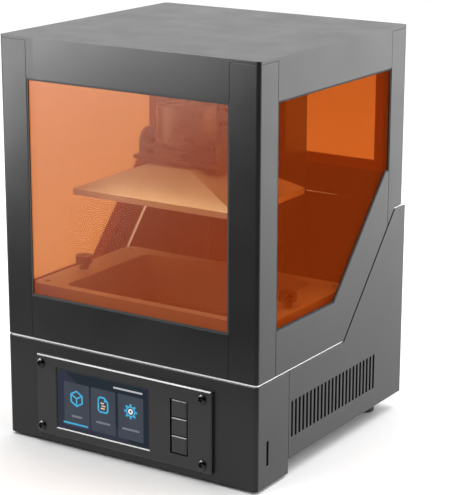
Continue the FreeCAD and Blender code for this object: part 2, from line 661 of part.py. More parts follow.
def fan_rotor():
    """The hub with its pitched blades. Every blade is a thin block turned about the hub."""
    start = d.rear_depth - d.fan_deep + d.rotor_clear
    long = d.fan_deep - d.sheet_wall - 3 * d.rotor_clear
    x = d.fan_offset
    z = d.fan_high
    pieces = [rod((x, deep(start), z), d.hub_radius, long, "y", "FanHub")]
    middle = FreeCAD.Vector(x.value, deep(start + long / 2).value, z.value)
    pitch = FreeCAD.Placement(FreeCAD.Vector(), FreeCAD.Rotation(FreeCAD.Vector(1, 0, 0), BLADE_PITCH))
    root = FreeCAD.Vector((d.hub_radius - d.blade_sink).value, (-d.blade_thick / 2).value,
                          (-d.blade_chord / 2).value)
    for index in range(BLADE_COUNT):
        blade = doc.addObject("Part::Box", "Blade")
        bind(blade, "Length", d.rotor_radius - d.hub_radius)
        bind(blade, "Width", d.blade_thick)
        bind(blade, "Height", d.blade_chord)
        spin = FreeCAD.Rotation(FreeCAD.Vector(0, 1, 0), index * 360 / BLADE_COUNT)
        blade.Placement = (FreeCAD.Placement(middle, spin) * pitch
                           * FreeCAD.Placement(root, FreeCAD.Rotation()))
        pieces.append(blade)
    bore = rod((x, deep(start - OVER), z), d.fan_pin_radius + d.run_gap, long, "y")
    keep("fan_rotor", cut(fuse(pieces, "FanBlades"), [bore], "FanRotor"))


def power_inlet():
    """Mains inlet and switch housing in one moulding, with three pins."""
    back = d.rear_depth
    lip = d.inlet_lip
    proud = deep(back + d.flange_thick + OVER)
    flange = box((d.inlet_left, deep(back), d.inlet_low),
                 (d.inlet_right, deep(back + d.flange_thick), d.inlet_high))
    body = box((d.inlet_left + lip, deep(back - d.inlet_deep), d.inlet_low + lip),
               (d.inlet_right - lip, deep(back + MERGE), d.inlet_high - lip))
    socket = box((d.plug_hole_left, deep(back - d.plug_hole_deep), d.plug_hole_low),
                 (d.plug_hole_right, proud, d.plug_hole_high))
    switch = box((d.rocker_left - d.switch_gap, deep(back - d.switch_deep), d.rocker_high - d.switch_half),
                 (d.rocker_right + d.switch_gap, proud, d.rocker_high + d.switch_half))
    reach = d.pivot_long + d.pivot_play
    pivot = rod((d.rocker_left - reach, deep(back - d.pivot_deep), d.rocker_high),
                d.pivot_radius + d.run_gap, d.rocker_right - d.rocker_left + 2 * reach, "x")
    shell = cut(fuse([flange, body]), [socket, switch, pivot], "InletShell")
    pins = []
    for offset, middle in ((-d.pin_pitch, d.pin_low), (0, d.pin_high), (d.pin_pitch, d.pin_low)):
        x = d.earth_pin + offset
        pins.append(box((x - d.blade_half, deep(back - d.blade_root), middle - d.blade_reach),
                        (x + d.blade_half, deep(back - d.blade_root + d.blade_long),
                         middle + d.blade_reach)))
    keep("power_inlet", fuse([shell] + pins, "PowerInlet"))


def power_rocker():
    """The rocker, pressed in at its top, on the two stub pins that it turns about."""
    back = d.rear_depth
    z = d.rocker_high
    half = d.rocker_half
    root = deep(back - d.rocker_root)
    profile = [(root, z - half + d.fit_gap), (deep(back + d.rocker_proud), z - half),
               (deep(back + d.rocker_waist), z), (deep(back + d.rocker_rest), z + half),
               (root, z + half - d.fit_gap)]
    key = slab("YZ_Plane", profile, d.rocker_left, d.rocker_right, "RockerKey")
    pivot = rod((d.rocker_left - d.pivot_long, deep(back - d.pivot_deep), z), d.pivot_radius,
                d.rocker_right - d.rocker_left + 2 * d.pivot_long, "x")
    keep("power_rocker", fuse([key, pivot], "PowerRocker"))


# ---------------------------------------------------------------- column and drive

def column_back_plate():
    reach = d.column_half - d.column_wall
    keep("column_back_plate", slab("XY_Plane", rectangle(-reach, deep(d.column_back - d.column_wall),
                                                         reach, deep(d.column_back)),
                                   d.base_top, d.column_top, "ColumnBack"))


def column_side_plates():
    def plate(side):
        outer = side * d.column_half
        inner = side * (d.column_half - d.column_wall)
        lip = side * (d.column_half - d.column_wall - d.lip_width)
        front_y = deep(d.column_front)
        profile = [(outer, front_y), (outer, deep(d.column_back)), (inner, deep(d.column_back)),
                   (inner, front_y + d.column_wall), (lip, front_y + d.column_wall), (lip, front_y)]
        body = slab("XY_Plane", profile, d.base_top, d.column_top, "ColumnSide")
        edge_x = outer.value
        edge_y = front_y.value
        soften(body, d.sheet_wall, "z",
               lambda point: abs(point.x - edge_x) < NEAR and abs(point.y - edge_y) < NEAR)
        return body

    keep("column_side_plates", mirror_pair(plate, "ColumnSides"))


def rod_blocks():
    """The blocks that hold the guide rods and steady the lead screw, at the column's two ends."""
    reach = d.column_half - d.column_wall
    front_y = deep(d.column_front + d.column_wall + OVER)
    back_y = deep(d.column_back - d.column_wall)

    def block(low, high, bore):
        solid = box((-reach, front_y, low), (reach, back_y, high), "RodBlock")
        long = high - low + 2 * OVER
        holes = [rod((side * d.rod_offset, deep(d.axis_depth), low - OVER), d.rod_radius + d.run_gap, long)
                 for side in (-1, 1)]
        holes.append(rod((0, deep(d.axis_depth), low - OVER), bore, long))
        return cut(solid, holes, "BoredBlock")

    lower = block(d.base_top, d.base_top + d.low_block, d.coupler_radius + 2 * OVER)
    upper = block(d.column_top - d.top_block, d.column_top, d.screw_radius + d.run_gap)
    keep("rod_blocks", group([lower, upper], "RodBlocks"))


def guide_rods():
    keep("guide_rods", mirror_pair(lambda side: rod(
        (side * d.rod_offset, deep(d.axis_depth), d.base_top + MERGE), d.rod_radius,
        d.column_top - d.base_top - 2 * MERGE, name="GuideRod"), "GuideRods"))


def lead_screw():
    """The screw at its outer diameter."""
    core = rod((0, deep(d.axis_depth), d.screw_start), d.screw_radius, d.screw_end - d.screw_start)
    keep("lead_screw", core)


def shaft_coupler():
    """The clamped sleeve between the motor's spindle and the lead screw."""
    y = deep(d.axis_depth)
    barrel = rod((0, y, d.coupler_low), d.coupler_radius, d.coupler_high - d.coupler_low)
    spindle_low = d.base_top - d.deck_thick - d.spindle_deep
    spindle = rod((0, y, spindle_low), d.spindle_radius, d.coupler_low - spindle_low + OVER)
    bore = rod((0, y, d.screw_start), d.screw_radius, d.coupler_high - d.screw_start + OVER)
    half = d.coupler_cut / 2
    slot = box((-d.coupler_radius - OVER, y - half, d.coupler_high - d.coupler_cut_deep),
               (-d.screw_radius, y + half, d.coupler_high + OVER))
    keep("shaft_coupler", cut(fuse([barrel, spindle]), [bore, slot], "ShaftCoupler"))


def stepper_motor():
    top = d.base_top - d.deck_thick
    y = deep(d.axis_depth)
    half = d.motor_half
    can = slab("XY_Plane", rectangle(-half, y - half, half, y + half), top - d.motor_high, top, "MotorCan")
    soften(can, d.motor_corner, "z", everywhere)
    boss = rod((0, y, top - MERGE), d.motor_boss, d.deck_thick)
    bore = rod((0, y, top - d.motor_bore), d.spindle_radius + d.run_gap, d.motor_bore + 2 * d.deck_thick)
    low = top - d.motor_high
    plug = box((-d.motor_plug_half, y - half - d.motor_plug_proud, low + d.motor_plug_low),
               (d.motor_plug_half, y - half + OVER, low + d.motor_plug_high))
    keep("stepper_motor", cut(fuse([can, boss, plug]), [bore], "StepperMotor"))


def limit_sensor():
    """A forked light gate on its bracket, on the front of the column."""
    x = d.column_half - d.sensor_inset
    y = deep(d.column_front)
    pieces = [box((x, y - d.sensor_plate, d.sensor_low), (x + d.sensor_width, y, d.sensor_high)),
              box((x + OVER, y - d.fork_bar_reach, d.fork_bar_low),
                  (x + d.sensor_inset, y - OVER, d.fork_low + OVER))]
    for offset in (OVER, OVER + d.fork_pitch):
        pieces.append(box((x + offset, y - d.fork_reach, d.fork_low),
                          (x + offset + d.fork_wall, y - OVER, d.fork_high)))
    keep("limit_sensor", fuse(pieces, "LimitSensor"))


# ---------------------------------------------------------------- carriage, arm, head and plate

def carriage_block():
    y = deep(d.axis_depth)
    body = slab("XY_Plane", rectangle(-d.block_half, deep(d.block_front), d.block_half, deep(d.block_back)),
                d.block_low, d.block_top, "CarriageBlank")
    soften(body, d.sheet_wall, "z", everywhere)
    low = d.block_low - OVER
    high = d.block_top - d.block_low + 2 * OVER
    bores = [rod((side * d.rod_offset, y, low), d.bearing_radius, high) for side in (-1, 1)]
    bores.append(rod((0, y, low), d.nut_radius, high))
    keep("carriage_block", cut(body, bores, "CarriageBlock"))


def linear_bearings():
    def bearing(side):
        low = (d.block_low + d.block_top - d.bearing_long) / 2
        start = (side * d.rod_offset, deep(d.axis_depth), low)
        sleeve = rod(start, d.bearing_radius, d.bearing_long)
        bore = rod(start, d.rod_radius + d.run_gap, d.bearing_long)
        return cut(sleeve, [bore], "Bearing")

    keep("linear_bearings", mirror_pair(bearing, "LinearBearings"))


def lead_nut():
    y = deep(d.axis_depth)
    low = d.block_low - d.nut_flange_high
    flange = rod((0, y, low), d.nut_flange, d.nut_flange_high)
    barrel = rod((0, y, low), d.nut_radius, d.nut_long)
    bore = rod((0, y, low - OVER), d.screw_radius + d.run_gap, d.nut_long + 2 * OVER)
    keep("lead_nut", cut(fuse([flange, barrel]), [bore], "LeadNut"))


def support_arm():
    """An upside-down channel from the carriage to the head."""
    wall = d.arm_wall
    half = d.arm_half
    profile = [(-half, d.arm_low), (-half, d.arm_top), (half, d.arm_top), (half, d.arm_low),
               (half - wall, d.arm_low), (half - wall, d.arm_top - wall),
               (-half + wall, d.arm_top - wall), (-half + wall, d.arm_low)]
    body = slab("XZ_Plane", profile, deep(d.arm_front), deep(d.block_front), "ArmChannel")
    top = d.arm_top.value
    soften(body, wall / 2, "y", lambda point: abs(point.z - top) < NEAR)
    holes = [rod((x, y, z - 2 * wall), d.cap_shank_radius + d.run_gap, 2 * wall + OVER)
             for x, y, z in arm_screw_places()]
    keep("support_arm", cut(body, holes, "SupportArm"))


def top_screw_places():
    return [(side * d.top_screw_side, deep(depth), d.head_top)
            for side in (-1, 1) for depth in (d.top_screw_front, d.top_screw_back)]


def front_screw_places():
    return [(side * d.front_screw_side, deep(d.nose_front), d.head_low + d.front_screw_lift)
            for side in (-1, 1)]


def arm_screw_places():
    return [(side * d.arm_screw_side, deep(depth), d.arm_top)
            for side in (-1, 1) for depth in (d.arm_screw_front, d.arm_screw_back)]


def head_block():
    """The clamp that holds the plate's ball, with a lip along its nose and a cup under it."""
    y = deep(d.head_depth)
    nose = deep(d.nose_front)
    shoulder = deep(d.head_front)
    back = deep(d.head_back)
    outline = [(-d.nose_half, nose), (d.nose_half, nose), (d.nose_half, shoulder),
               (d.head_half, shoulder), (d.head_half, back), (-d.head_half, back),
               (-d.head_half, shoulder), (-d.nose_half, shoulder)]
    body = slab("XY_Plane", outline, d.head_low, d.head_top, "HeadBlank")
    soften(body, d.sheet_wall, "z", everywhere)
    lip = box((-d.nose_half, nose - d.lip_proud, d.head_low),
              (d.nose_half, shoulder, d.head_low + d.lip_high))
    cup = rod((0, y, d.cup_low), d.cup_radius, d.head_low - d.cup_low + OVER)
    tools = [ball((0, y, d.ball_high), d.ball_radius + d.run_gap),
             rod((0, y, d.ball_high), d.clamp_radius + d.run_gap, d.head_top - d.ball_high + OVER)]
    hole = d.cap_shank_radius + d.run_gap
    for x, depth, z in top_screw_places():
        tools.append(rod((x, depth, z - d.cap_shank), hole, d.cap_shank))
    for place_at in front_screw_places():
        tools.append(rod(place_at, hole, d.cap_shank, "y"))
    keep("head_block", cut(fuse([body, lip, cup]), tools, "HeadBlock"))


def head_bracket():
    """The cradle under the head, with a round-topped ear on each side."""
    wall = d.ear_wall
    inner = d.head_half + d.ear_gap
    y = deep(d.head_depth)
    outer = inner + wall
    foot = box((-outer, y - d.cradle_half, d.cradle_low), (outer, y + d.cradle_half, d.head_low))
    pieces = [foot]
    for side in (-1, 1):
        low, high = span(side, inner, outer)
        pieces.append(box((low, y - d.ear_half, d.ear_low), (high, y + d.ear_half, d.ear_axis)))
        pieces.append(rod((low, y, d.ear_axis), d.ear_half, high - low, "x"))
    hole = rod((0, y, d.cradle_low - OVER), d.cup_radius + d.fit_gap, d.head_low - d.cradle_low + 2 * OVER)
    keep("head_bracket", cut(fuse(pieces), [hole], "HeadBracket"))


def head_screws():
    places = [(point, "z", 1) for point in top_screw_places() + arm_screw_places()]
    places += [(point, "y", -1) for point in front_screw_places()]
    screws = [cap_screw(point, along, out, d.cap_head_radius, d.cap_head_high, d.cap_shank_radius,
                        d.arm_wall - d.fit_gap)
              for point, along, out in places]
    keep("head_screws", group(screws, "HeadScrews"))


def top_knob():
    """The big clamping knob, with its neck and the shank that presses on the ball."""
    y = deep(d.head_depth)
    high = d.big_knob_top - d.big_knob_low
    start = d.ball_high + d.ball_radius + MERGE
    wheel = rod((0, y, d.big_knob_low), d.big_knob_radius, high)
    rounded = dress("Fillet", wheel, d.knob_round, lambda edge: edge.BoundBox.ZLength < NEAR)
    neck_low = d.head_top + d.ear_gap
    neck = rod((0, y, neck_low), d.knob_neck_wide, d.big_knob_low - neck_low + OVER)
    shank = rod((0, y, start), d.clamp_radius, d.big_knob_low - start + OVER)
    dish = rod((0, y, d.big_knob_top - d.dish_deep), d.big_knob_radius - d.dish_rim, d.dish_deep + OVER)
    keep("top_knob", cut(fuse([rounded, neck, shank]), [dish], "TopKnob"))


def build_plate():
    """A flat plate whose top slopes up to the head on all sides, so that resin runs off it."""
    slab_body = slab("XY_Plane", rectangle(-d.plate_half, deep(d.plate_front), d.plate_half,
                                           deep(d.plate_back)),
                     d.plate_top - d.plate_thick, d.plate_top, "PlateSlab")
    soften(slab_body, d.sheet_wall, "z", everywhere)
    slope = doc.addObject("Part::Wedge", "PlateSlope")
    for prop, value in (("Xmin", -d.plate_half), ("Xmax", d.plate_half), ("X2min", -d.slope_half),
                        ("X2max", d.slope_half), ("Ymin", 0), ("Ymax", d.slope_top - d.plate_top),
                        ("Zmin", 0), ("Zmax", d.plate_back - d.plate_front),
                        ("Z2min", d.plate_back - d.slope_back), ("Z2max", d.plate_back - d.slope_front)):
        bind(slope, prop, value)
    slope.Placement = FreeCAD.Placement(FreeCAD.Vector(), FreeCAD.Rotation(FreeCAD.Vector(1, 0, 0), 90))
    place(slope, 0, deep(d.plate_back), d.plate_top)
    well = rod((0, deep(d.head_depth), d.well_low), d.well_radius, d.slope_top - d.well_low + OVER)
    keep("build_plate", cut(fuse([slab_body, slope]), [well], "BuildPlate"))


def plate_stem():
    """The foot in the plate's well and the ball that the head holds."""
    y = deep(d.head_depth)
    half = d.foot_half
    foot = box((-half, y - half, d.well_low), (half, y + half, d.well_low + d.foot_thick))
    neck_low = d.well_low + d.foot_thick - OVER
    neck = rod((0, y, neck_low), d.neck_radius, d.ball_high - neck_low)
    keep("plate_stem", fuse([foot, neck, ball((0, y, d.ball_high), d.ball_radius)], "PlateStem"))


# ---------------------------------------------------------------- vat

def vat_frame():
    low = d.film_low + d.film_thick
    flange = slab("XY_Plane", rectangle(-d.vat_half, deep(d.vat_front), d.vat_half, deep(d.vat_back)),
                  d.vat_top - d.flange_high, d.vat_top, "VatFlange")
    soften(flange, d.vat_corner, "z", everywhere)
    walls = slab("XY_Plane", rectangle(-d.vat_wall_half, deep(d.vat_front), d.vat_wall_half,
                                       deep(d.vat_back)),
                 low, d.vat_top - OVER, "VatWalls")
    soften(walls, d.vat_corner, "z", everywhere)
    tank = slab("XY_Plane", rectangle(-d.tank_half, deep(d.tank_front), d.tank_half, deep(d.tank_back)),
                low - OVER, d.vat_top + OVER, "VatTank")
    soften(tank, 2 * d.vat_corner / 3, "z", everywhere)
    tools = [tank]
    for side in (-1, 1):
        tools.append(rod((side * d.knob_offset, deep(d.knob_depth), d.vat_top - d.flange_high - OVER),
                         d.knob_shank_radius + 2 * d.fit_gap, d.flange_high + 2 * OVER))
        for depth in (d.vat_front + d.vat_hole_end, d.vat_back - d.vat_hole_end):
            tools.append(rod((side * (d.vat_half - d.vat_hole_side), deep(depth),
                              d.vat_top - d.vat_hole_deep), d.vat_hole_radius, d.vat_hole_deep + OVER))
    keep("vat_frame", cut(fuse([flange, walls]), tools, "VatFrame"))


def vat_film():
    reach = d.vat_wall_half - d.film_side
    film = slab("XY_Plane", rectangle(-reach, deep(d.vat_front + d.film_end), reach,
                                      deep(d.vat_back - d.film_end)),
                d.film_low, d.film_low + d.film_thick, "VatFilm")
    soften(film, d.vat_corner, "z", everywhere)
    keep("vat_film", film)


def vat_rails():
    def rail(side):
        low, high = span(side, d.rail_inner, d.rail_outer)
        top = d.vat_top - d.flange_high
        bar = box((low, deep(d.vat_front + d.rail_inset), d.base_top),
                  (high, deep(d.vat_back - d.rail_inset), top))
        hole = rod((side * d.knob_offset, deep(d.knob_depth), top - d.rail_bore),
                   d.knob_shank_radius + d.run_gap, d.rail_bore + OVER)
        return cut(bar, [hole], "VatRail")

    keep("vat_rails", mirror_pair(rail, "VatRails"))


def vat_knob(side, name):
    """A knurled thumb screw that holds the vat down on its rail."""
    x = side * d.knob_offset
    y = deep(d.knob_depth)
    head_low = d.vat_top + d.knob_neck
    head = rod((x, y, head_low), d.knob_radius, d.knob_high)
    grooves = []
    for index in range(KNURL_COUNT):
        angle = 2 * math.pi * index / KNURL_COUNT
        grooves.append(rod((x + d.knob_radius * math.cos(angle), y + d.knob_radius * math.sin(angle),
                            head_low - OVER), d.knurl_radius, d.knob_high + 2 * OVER))
    knurled = cut(head, grooves, "Knurled")
    neck = rod((x, y, d.vat_top + d.knob_lift), d.knob_neck_radius, d.knob_neck + MERGE)
    shank = rod((x, y, d.vat_top - d.knob_shank), d.knob_shank_radius, d.knob_shank + OVER)
    keep(name, fuse([knurled, neck, shank], "VatKnob"))


# ---------------------------------------------------------------- cover

def cover_top_panel():
    """The top sheet with a skirt folded down between the corner posts on every side."""
    wall = d.sheet_wall
    low = d.total_height - d.top_thick
    lid = slab("XY_Plane", rectangle(-half_width, front, half_width, deep(d.cover_depth)), low,
               d.total_height, "CoverLid")
    soften(lid, d.corner_bend, "z", everywhere)
    reach = half_width - d.post_width - d.panel_gap
    near = d.post_width + d.panel_gap
    far = d.cover_depth - d.post_width - d.panel_gap
    skirts = []
    for start in (0, d.cover_depth - wall):
        skirts.append(box((-reach, deep(start), d.window_high), (reach, deep(start + wall), low + MERGE)))
    for side in (-1, 1):
        left, right = span(side, half_width - wall, half_width)
        skirts.append(box((left, deep(near), d.window_high), (right, deep(far), low + MERGE)))
    keep("cover_top_panel", fuse([lid] + skirts, "CoverTopPanel"))


def corner_post(side, at_back):
    wall = d.sheet_wall
    width = d.post_width
    edge = deep(d.cover_depth) if at_back else front
    inward = -1 if at_back else 1
    outer = side * half_width
    toward = -side
    profile = [(outer, edge), (outer + toward * width, edge), (outer + toward * width, edge + inward * wall),
               (outer + toward * wall, edge + inward * wall), (outer + toward * wall, edge + inward * width),
               (outer, edge + inward * width)]
    low = d.cover_low
    high = d.total_height - d.top_thick - d.panel_gap
    body = slab("XY_Plane", profile, low, high, "CornerPost")
    soften(body, d.corner_bend, "z",
           lambda point: abs(point.x - outer.value) < NEAR and abs(point.y - edge.value) < NEAR)
    soften(body, d.corner_bend - wall, "z",
           lambda point: (abs(point.x - outer.value - toward * wall.value) < NEAR
                          and abs(point.y - edge.value - inward * wall.value) < NEAR))
    if not at_back:
        return body
    left, right = span(side, half_width - width - OVER, half_width + OVER)
    under = d.cover_low - OVER
    slope = [(deep(d.diagonal_low_depth), under), (deep(d.diagonal_low_depth), d.cover_low),
             (deep(d.diagonal_high_depth), d.cover_rear_low),
             (deep(d.cover_depth + OVER), d.cover_rear_low), (deep(d.cover_depth + OVER), under)]
    return cut(body, [slab("YZ_Plane", slope, left, right, "RiserSpace")], "RearPost")


def cover_posts():
    for at_back, name in ((False, "cover_front_posts"), (True, "cover_rear_posts")):
        keep(name, mirror_pair(lambda side: corner_post(side, at_back), "CoverPosts"))


def cover_front_rail():
    """The rail under the front window, folded inwards along its lower edge."""
    reach = half_width - d.post_width - d.panel_gap
    wall = d.sheet_wall
    profile = [(front, d.cover_low), (deep(d.fold_width), d.cover_low),
               (deep(d.fold_width), d.cover_low + wall), (deep(wall), d.cover_low + wall),
               (deep(wall), d.window_low), (front, d.window_low)]
    keep("cover_front_rail", slab("YZ_Plane", profile, -reach, reach, "CoverFrontRail"))


def diagonal_high_at(depth):
    """Height of the cover's slanted side edge at a depth."""
    slope = (d.cover_rear_low - d.cover_low) / (d.diagonal_high_depth - d.diagonal_low_depth)
    return d.cover_low + (depth - d.diagonal_low_depth) * slope


def cover_side_rails():
    far = d.cover_depth - d.post_width - d.panel_gap
    near = d.post_width + d.panel_gap

    def rail(side):
        low, high = span(side, half_width - d.sheet_wall, half_width)
        profile = [(deep(near), d.cover_low), (deep(d.diagonal_low_depth), d.cover_low),
                   (deep(far), diagonal_high_at(far)), (deep(far), d.glass_heel_high),
                   (deep(d.glass_heel_depth), d.glass_heel_high),
                   (deep(d.glass_knee_depth), d.window_low), (deep(near), d.window_low)]
        return slab("YZ_Plane", profile, low, high, "SideRail")

    keep("cover_side_rails", mirror_pair(rail, "CoverSideRails"))


def cover_rear_rail():
    reach = half_width - d.post_width - d.panel_gap
    keep("cover_rear_rail", slab("XZ_Plane", rectangle(-reach, d.cover_rear_low, reach,
                                                       d.glass_heel_high),
                                 deep(d.cover_depth - d.sheet_wall), deep(d.cover_depth), "RearRail"))


def front_window():
    reach = half_width - d.post_width + d.acrylic_lap
    keep("front_window", slab("XZ_Plane", rectangle(-reach, d.window_low - d.acrylic_lap, reach,
                                                    d.window_high + d.acrylic_lap),
                              deep(d.sheet_wall), deep(d.sheet_wall + d.acrylic_thick), "FrontWindow"))


def rear_window():
    reach = half_width - d.post_width + d.acrylic_lap
    back = d.cover_depth - d.sheet_wall
    keep("rear_window", slab("XZ_Plane", rectangle(-reach, d.glass_heel_high - d.acrylic_lap, reach,
                                                   d.window_high + d.acrylic_lap),
                             deep(back - d.acrylic_thick), deep(back), "RearWindow"))


def window_outline(grow):
    """The six-sided side window, grown outwards by a margin."""
    rise = (d.glass_heel_high - d.window_low).value
    run = (d.glass_heel_depth - d.glass_knee_depth).value
    slope_shift = grow * ((math.hypot(rise, run) - run) / rise)
    return [(deep(d.post_width - grow), d.window_low - grow),
            (deep(d.glass_knee_depth + slope_shift), d.window_low - grow),
            (deep(d.glass_heel_depth + slope_shift), d.glass_heel_high - grow),
            (deep(d.cover_depth - d.post_width + grow), d.glass_heel_high - grow),
            (deep(d.cover_depth - d.post_width + grow), d.window_high + grow),
            (deep(d.post_width - grow), d.window_high + grow)]


def side_windows():
    def window(side):
        low, high = span(side, half_width - d.sheet_wall - d.acrylic_thick, half_width - d.sheet_wall)
        return slab("YZ_Plane", window_outline(d.acrylic_lap), low, high, "SideWindow")

    keep("side_windows", mirror_pair(window, "SideWindows"))


def cover_bumpers():
    bumpers = []
    offset = d.sheet_wall + d.bumper_radius + d.trim_high
    for side in (-1, 1):
        bumpers.append(rod((side * (half_width - offset), deep(offset), d.base_top + d.trim_high
                            + d.bumper_gap), d.bumper_radius, d.bumper_high, name="Bumper"))
    keep("cover_bumpers", group(bumpers, "CoverBumpers"))


# ---------------------------------------------------------------- hinges

def hinge_upper_leaves():
    def leaf(side):
        middle = side * d.hinge_centre
        half = d.hinge_width / 2
        knuckle = half - d.knuckle_width - d.side_play
        y = deep(d.hinge_depth)
        face = deep(d.cover_depth)
        z = d.hinge_high
        plate = box((middle - half, face, z + OVER), (middle + half, face + d.leaf_thick, z + d.leaf_long))
        web = box((middle - knuckle, face, z), (middle + knuckle, y, z + d.knuckle_radius))
        barrel = rod((middle - knuckle, y, z), d.knuckle_radius, 2 * knuckle, "x")
        bore = rod((middle - half, y, z), d.pin_radius + d.run_gap, 2 * half, "x")
        return cut(fuse([plate, web, barrel]), [bore], "UpperLeaf")

    keep("hinge_upper_leaves", mirror_pair(leaf, "UpperLeaves"))


def hinge_lower_leaves():
    def leaf(side):
        middle = side * d.hinge_centre
        half = d.hinge_width / 2
        y = deep(d.hinge_depth)
        face = deep(d.rear_depth)
        z = d.hinge_high
        pieces = [box((middle - half, face, z - d.leaf_long - d.leaf_drop),
                      (middle + half, face + d.leaf_thick, z - d.knuckle_radius - d.side_play))]
        for start in (middle - half, middle + half - d.knuckle_width):
            pieces.append(rod((start, y, z), d.knuckle_radius, d.knuckle_width, "x"))
            pieces.append(box((start, face, z - d.knuckle_radius - OVER),
                              (start + d.knuckle_width, face + d.leaf_thick, z)))
        bore = rod((middle - half - OVER, y, z), d.pin_radius, 2 * half + 2 * OVER, "x")
        return cut(fuse(pieces), [bore], "LowerLeaf")

    keep("hinge_lower_leaves", mirror_pair(leaf, "LowerLeaves"))


def hinge_pins():
    keep("hinge_pins", mirror_pair(lambda side: rod(
        (side * d.hinge_centre - d.hinge_width / 2, deep(d.hinge_depth), d.hinge_high), d.pin_radius,
        d.hinge_width, "x", "HingePin"), "HingePins"))


# ---------------------------------------------------------------- the machine

def build():
    front_casing()
    side_panel(-1, "left_side_panel")
    side_panel(1, "right_side_panel")
    rear_panel()
    base_pan()
    deck_plate()
    edge_trim()
    rubber_feet()
    bezel_plate()
    bezel_screws()
    display_glass()
    control_board()
    for index in range(BUTTON_COUNT):
        push_button(index)
    mask_screen()
    lamp_housing()
    led_board()
    main_board()
    card_socket()
    fan_frame()
    fan_rotor()
    power_inlet()
    power_rocker()
    column_back_plate()
    column_side_plates()
    rod_blocks()
    guide_rods()
    lead_screw()
    shaft_coupler()
    stepper_motor()
    limit_sensor()
    carriage_block()
    linear_bearings()
    lead_nut()
    support_arm()
    head_block()
    head_bracket()
    head_screws()
    top_knob()
    build_plate()
    plate_stem()
    vat_frame()
    vat_film()
    vat_rails()
    vat_knob(-1, "vat_knob_left")
    vat_knob(1, "vat_knob_right")
    cover_top_panel()
    cover_posts()
    cover_front_rail()
    cover_side_rails()
    cover_rear_rail()
    front_window()
    rear_window()
    side_windows()
    cover_bumpers()
    hinge_upper_leaves()
    hinge_lower_leaves()
    hinge_pins()


def check_and_write():
    doc.recompute()
    failed = [item.Label for item in doc.Objects if "Invalid" in item.State or "Error" in item.State]
    if failed:
        raise RuntimeError(f"these did not build: {failed}")
    for name, piece in nodes.items():
        if piece.Shape.isNull() or not piece.Shape.isValid():
            raise RuntimeError(f"{name} has no sound shape")
        if min(solid.Volume for solid in piece.Shape.Solids) <= 0:
            raise RuntimeError(f"{name} holds an empty solid")
    os.makedirs("parts", exist_ok=True)
    for name, piece in nodes.items():
        piece.Shape.exportStep(f"parts/{name}.step")
    print(len(nodes), "nodes written")


build()
check_and_write()
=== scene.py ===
"""Looks of the resin printer: materials, small pieces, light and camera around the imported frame.

Places are given in millimetres: x from the middle, depth behind the casing's front face, z from the floor.
"""
import json
import math

import bmesh
import bpy
from mathutils import Matrix, Vector


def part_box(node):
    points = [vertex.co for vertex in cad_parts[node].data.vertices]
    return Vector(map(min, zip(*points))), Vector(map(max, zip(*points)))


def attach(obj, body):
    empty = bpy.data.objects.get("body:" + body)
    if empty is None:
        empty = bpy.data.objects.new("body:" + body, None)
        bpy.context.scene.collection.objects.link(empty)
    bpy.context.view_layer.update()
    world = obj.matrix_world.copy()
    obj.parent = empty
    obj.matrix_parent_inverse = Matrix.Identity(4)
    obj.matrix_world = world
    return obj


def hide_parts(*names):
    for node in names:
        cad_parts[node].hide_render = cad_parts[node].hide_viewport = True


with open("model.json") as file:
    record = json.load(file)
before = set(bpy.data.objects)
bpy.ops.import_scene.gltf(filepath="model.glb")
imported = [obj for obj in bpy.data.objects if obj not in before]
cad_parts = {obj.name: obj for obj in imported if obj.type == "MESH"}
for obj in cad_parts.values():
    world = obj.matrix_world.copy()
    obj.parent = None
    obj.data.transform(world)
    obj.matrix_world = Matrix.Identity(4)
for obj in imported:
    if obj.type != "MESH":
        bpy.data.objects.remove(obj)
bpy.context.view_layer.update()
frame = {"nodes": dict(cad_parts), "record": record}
MM = 0.001
FRONT_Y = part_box("front_casing")[0][1]


def at(x, depth, z):
    """The point this far from the middle, behind the front face and above the floor."""
    return Vector((x * MM, FRONT_Y + depth * MM, z * MM))


def depth_of(y):
    """Depth behind the front face of a place along Y."""
    return (y - FRONT_Y) / MM


# ---------------------------------------------------------------- node materials

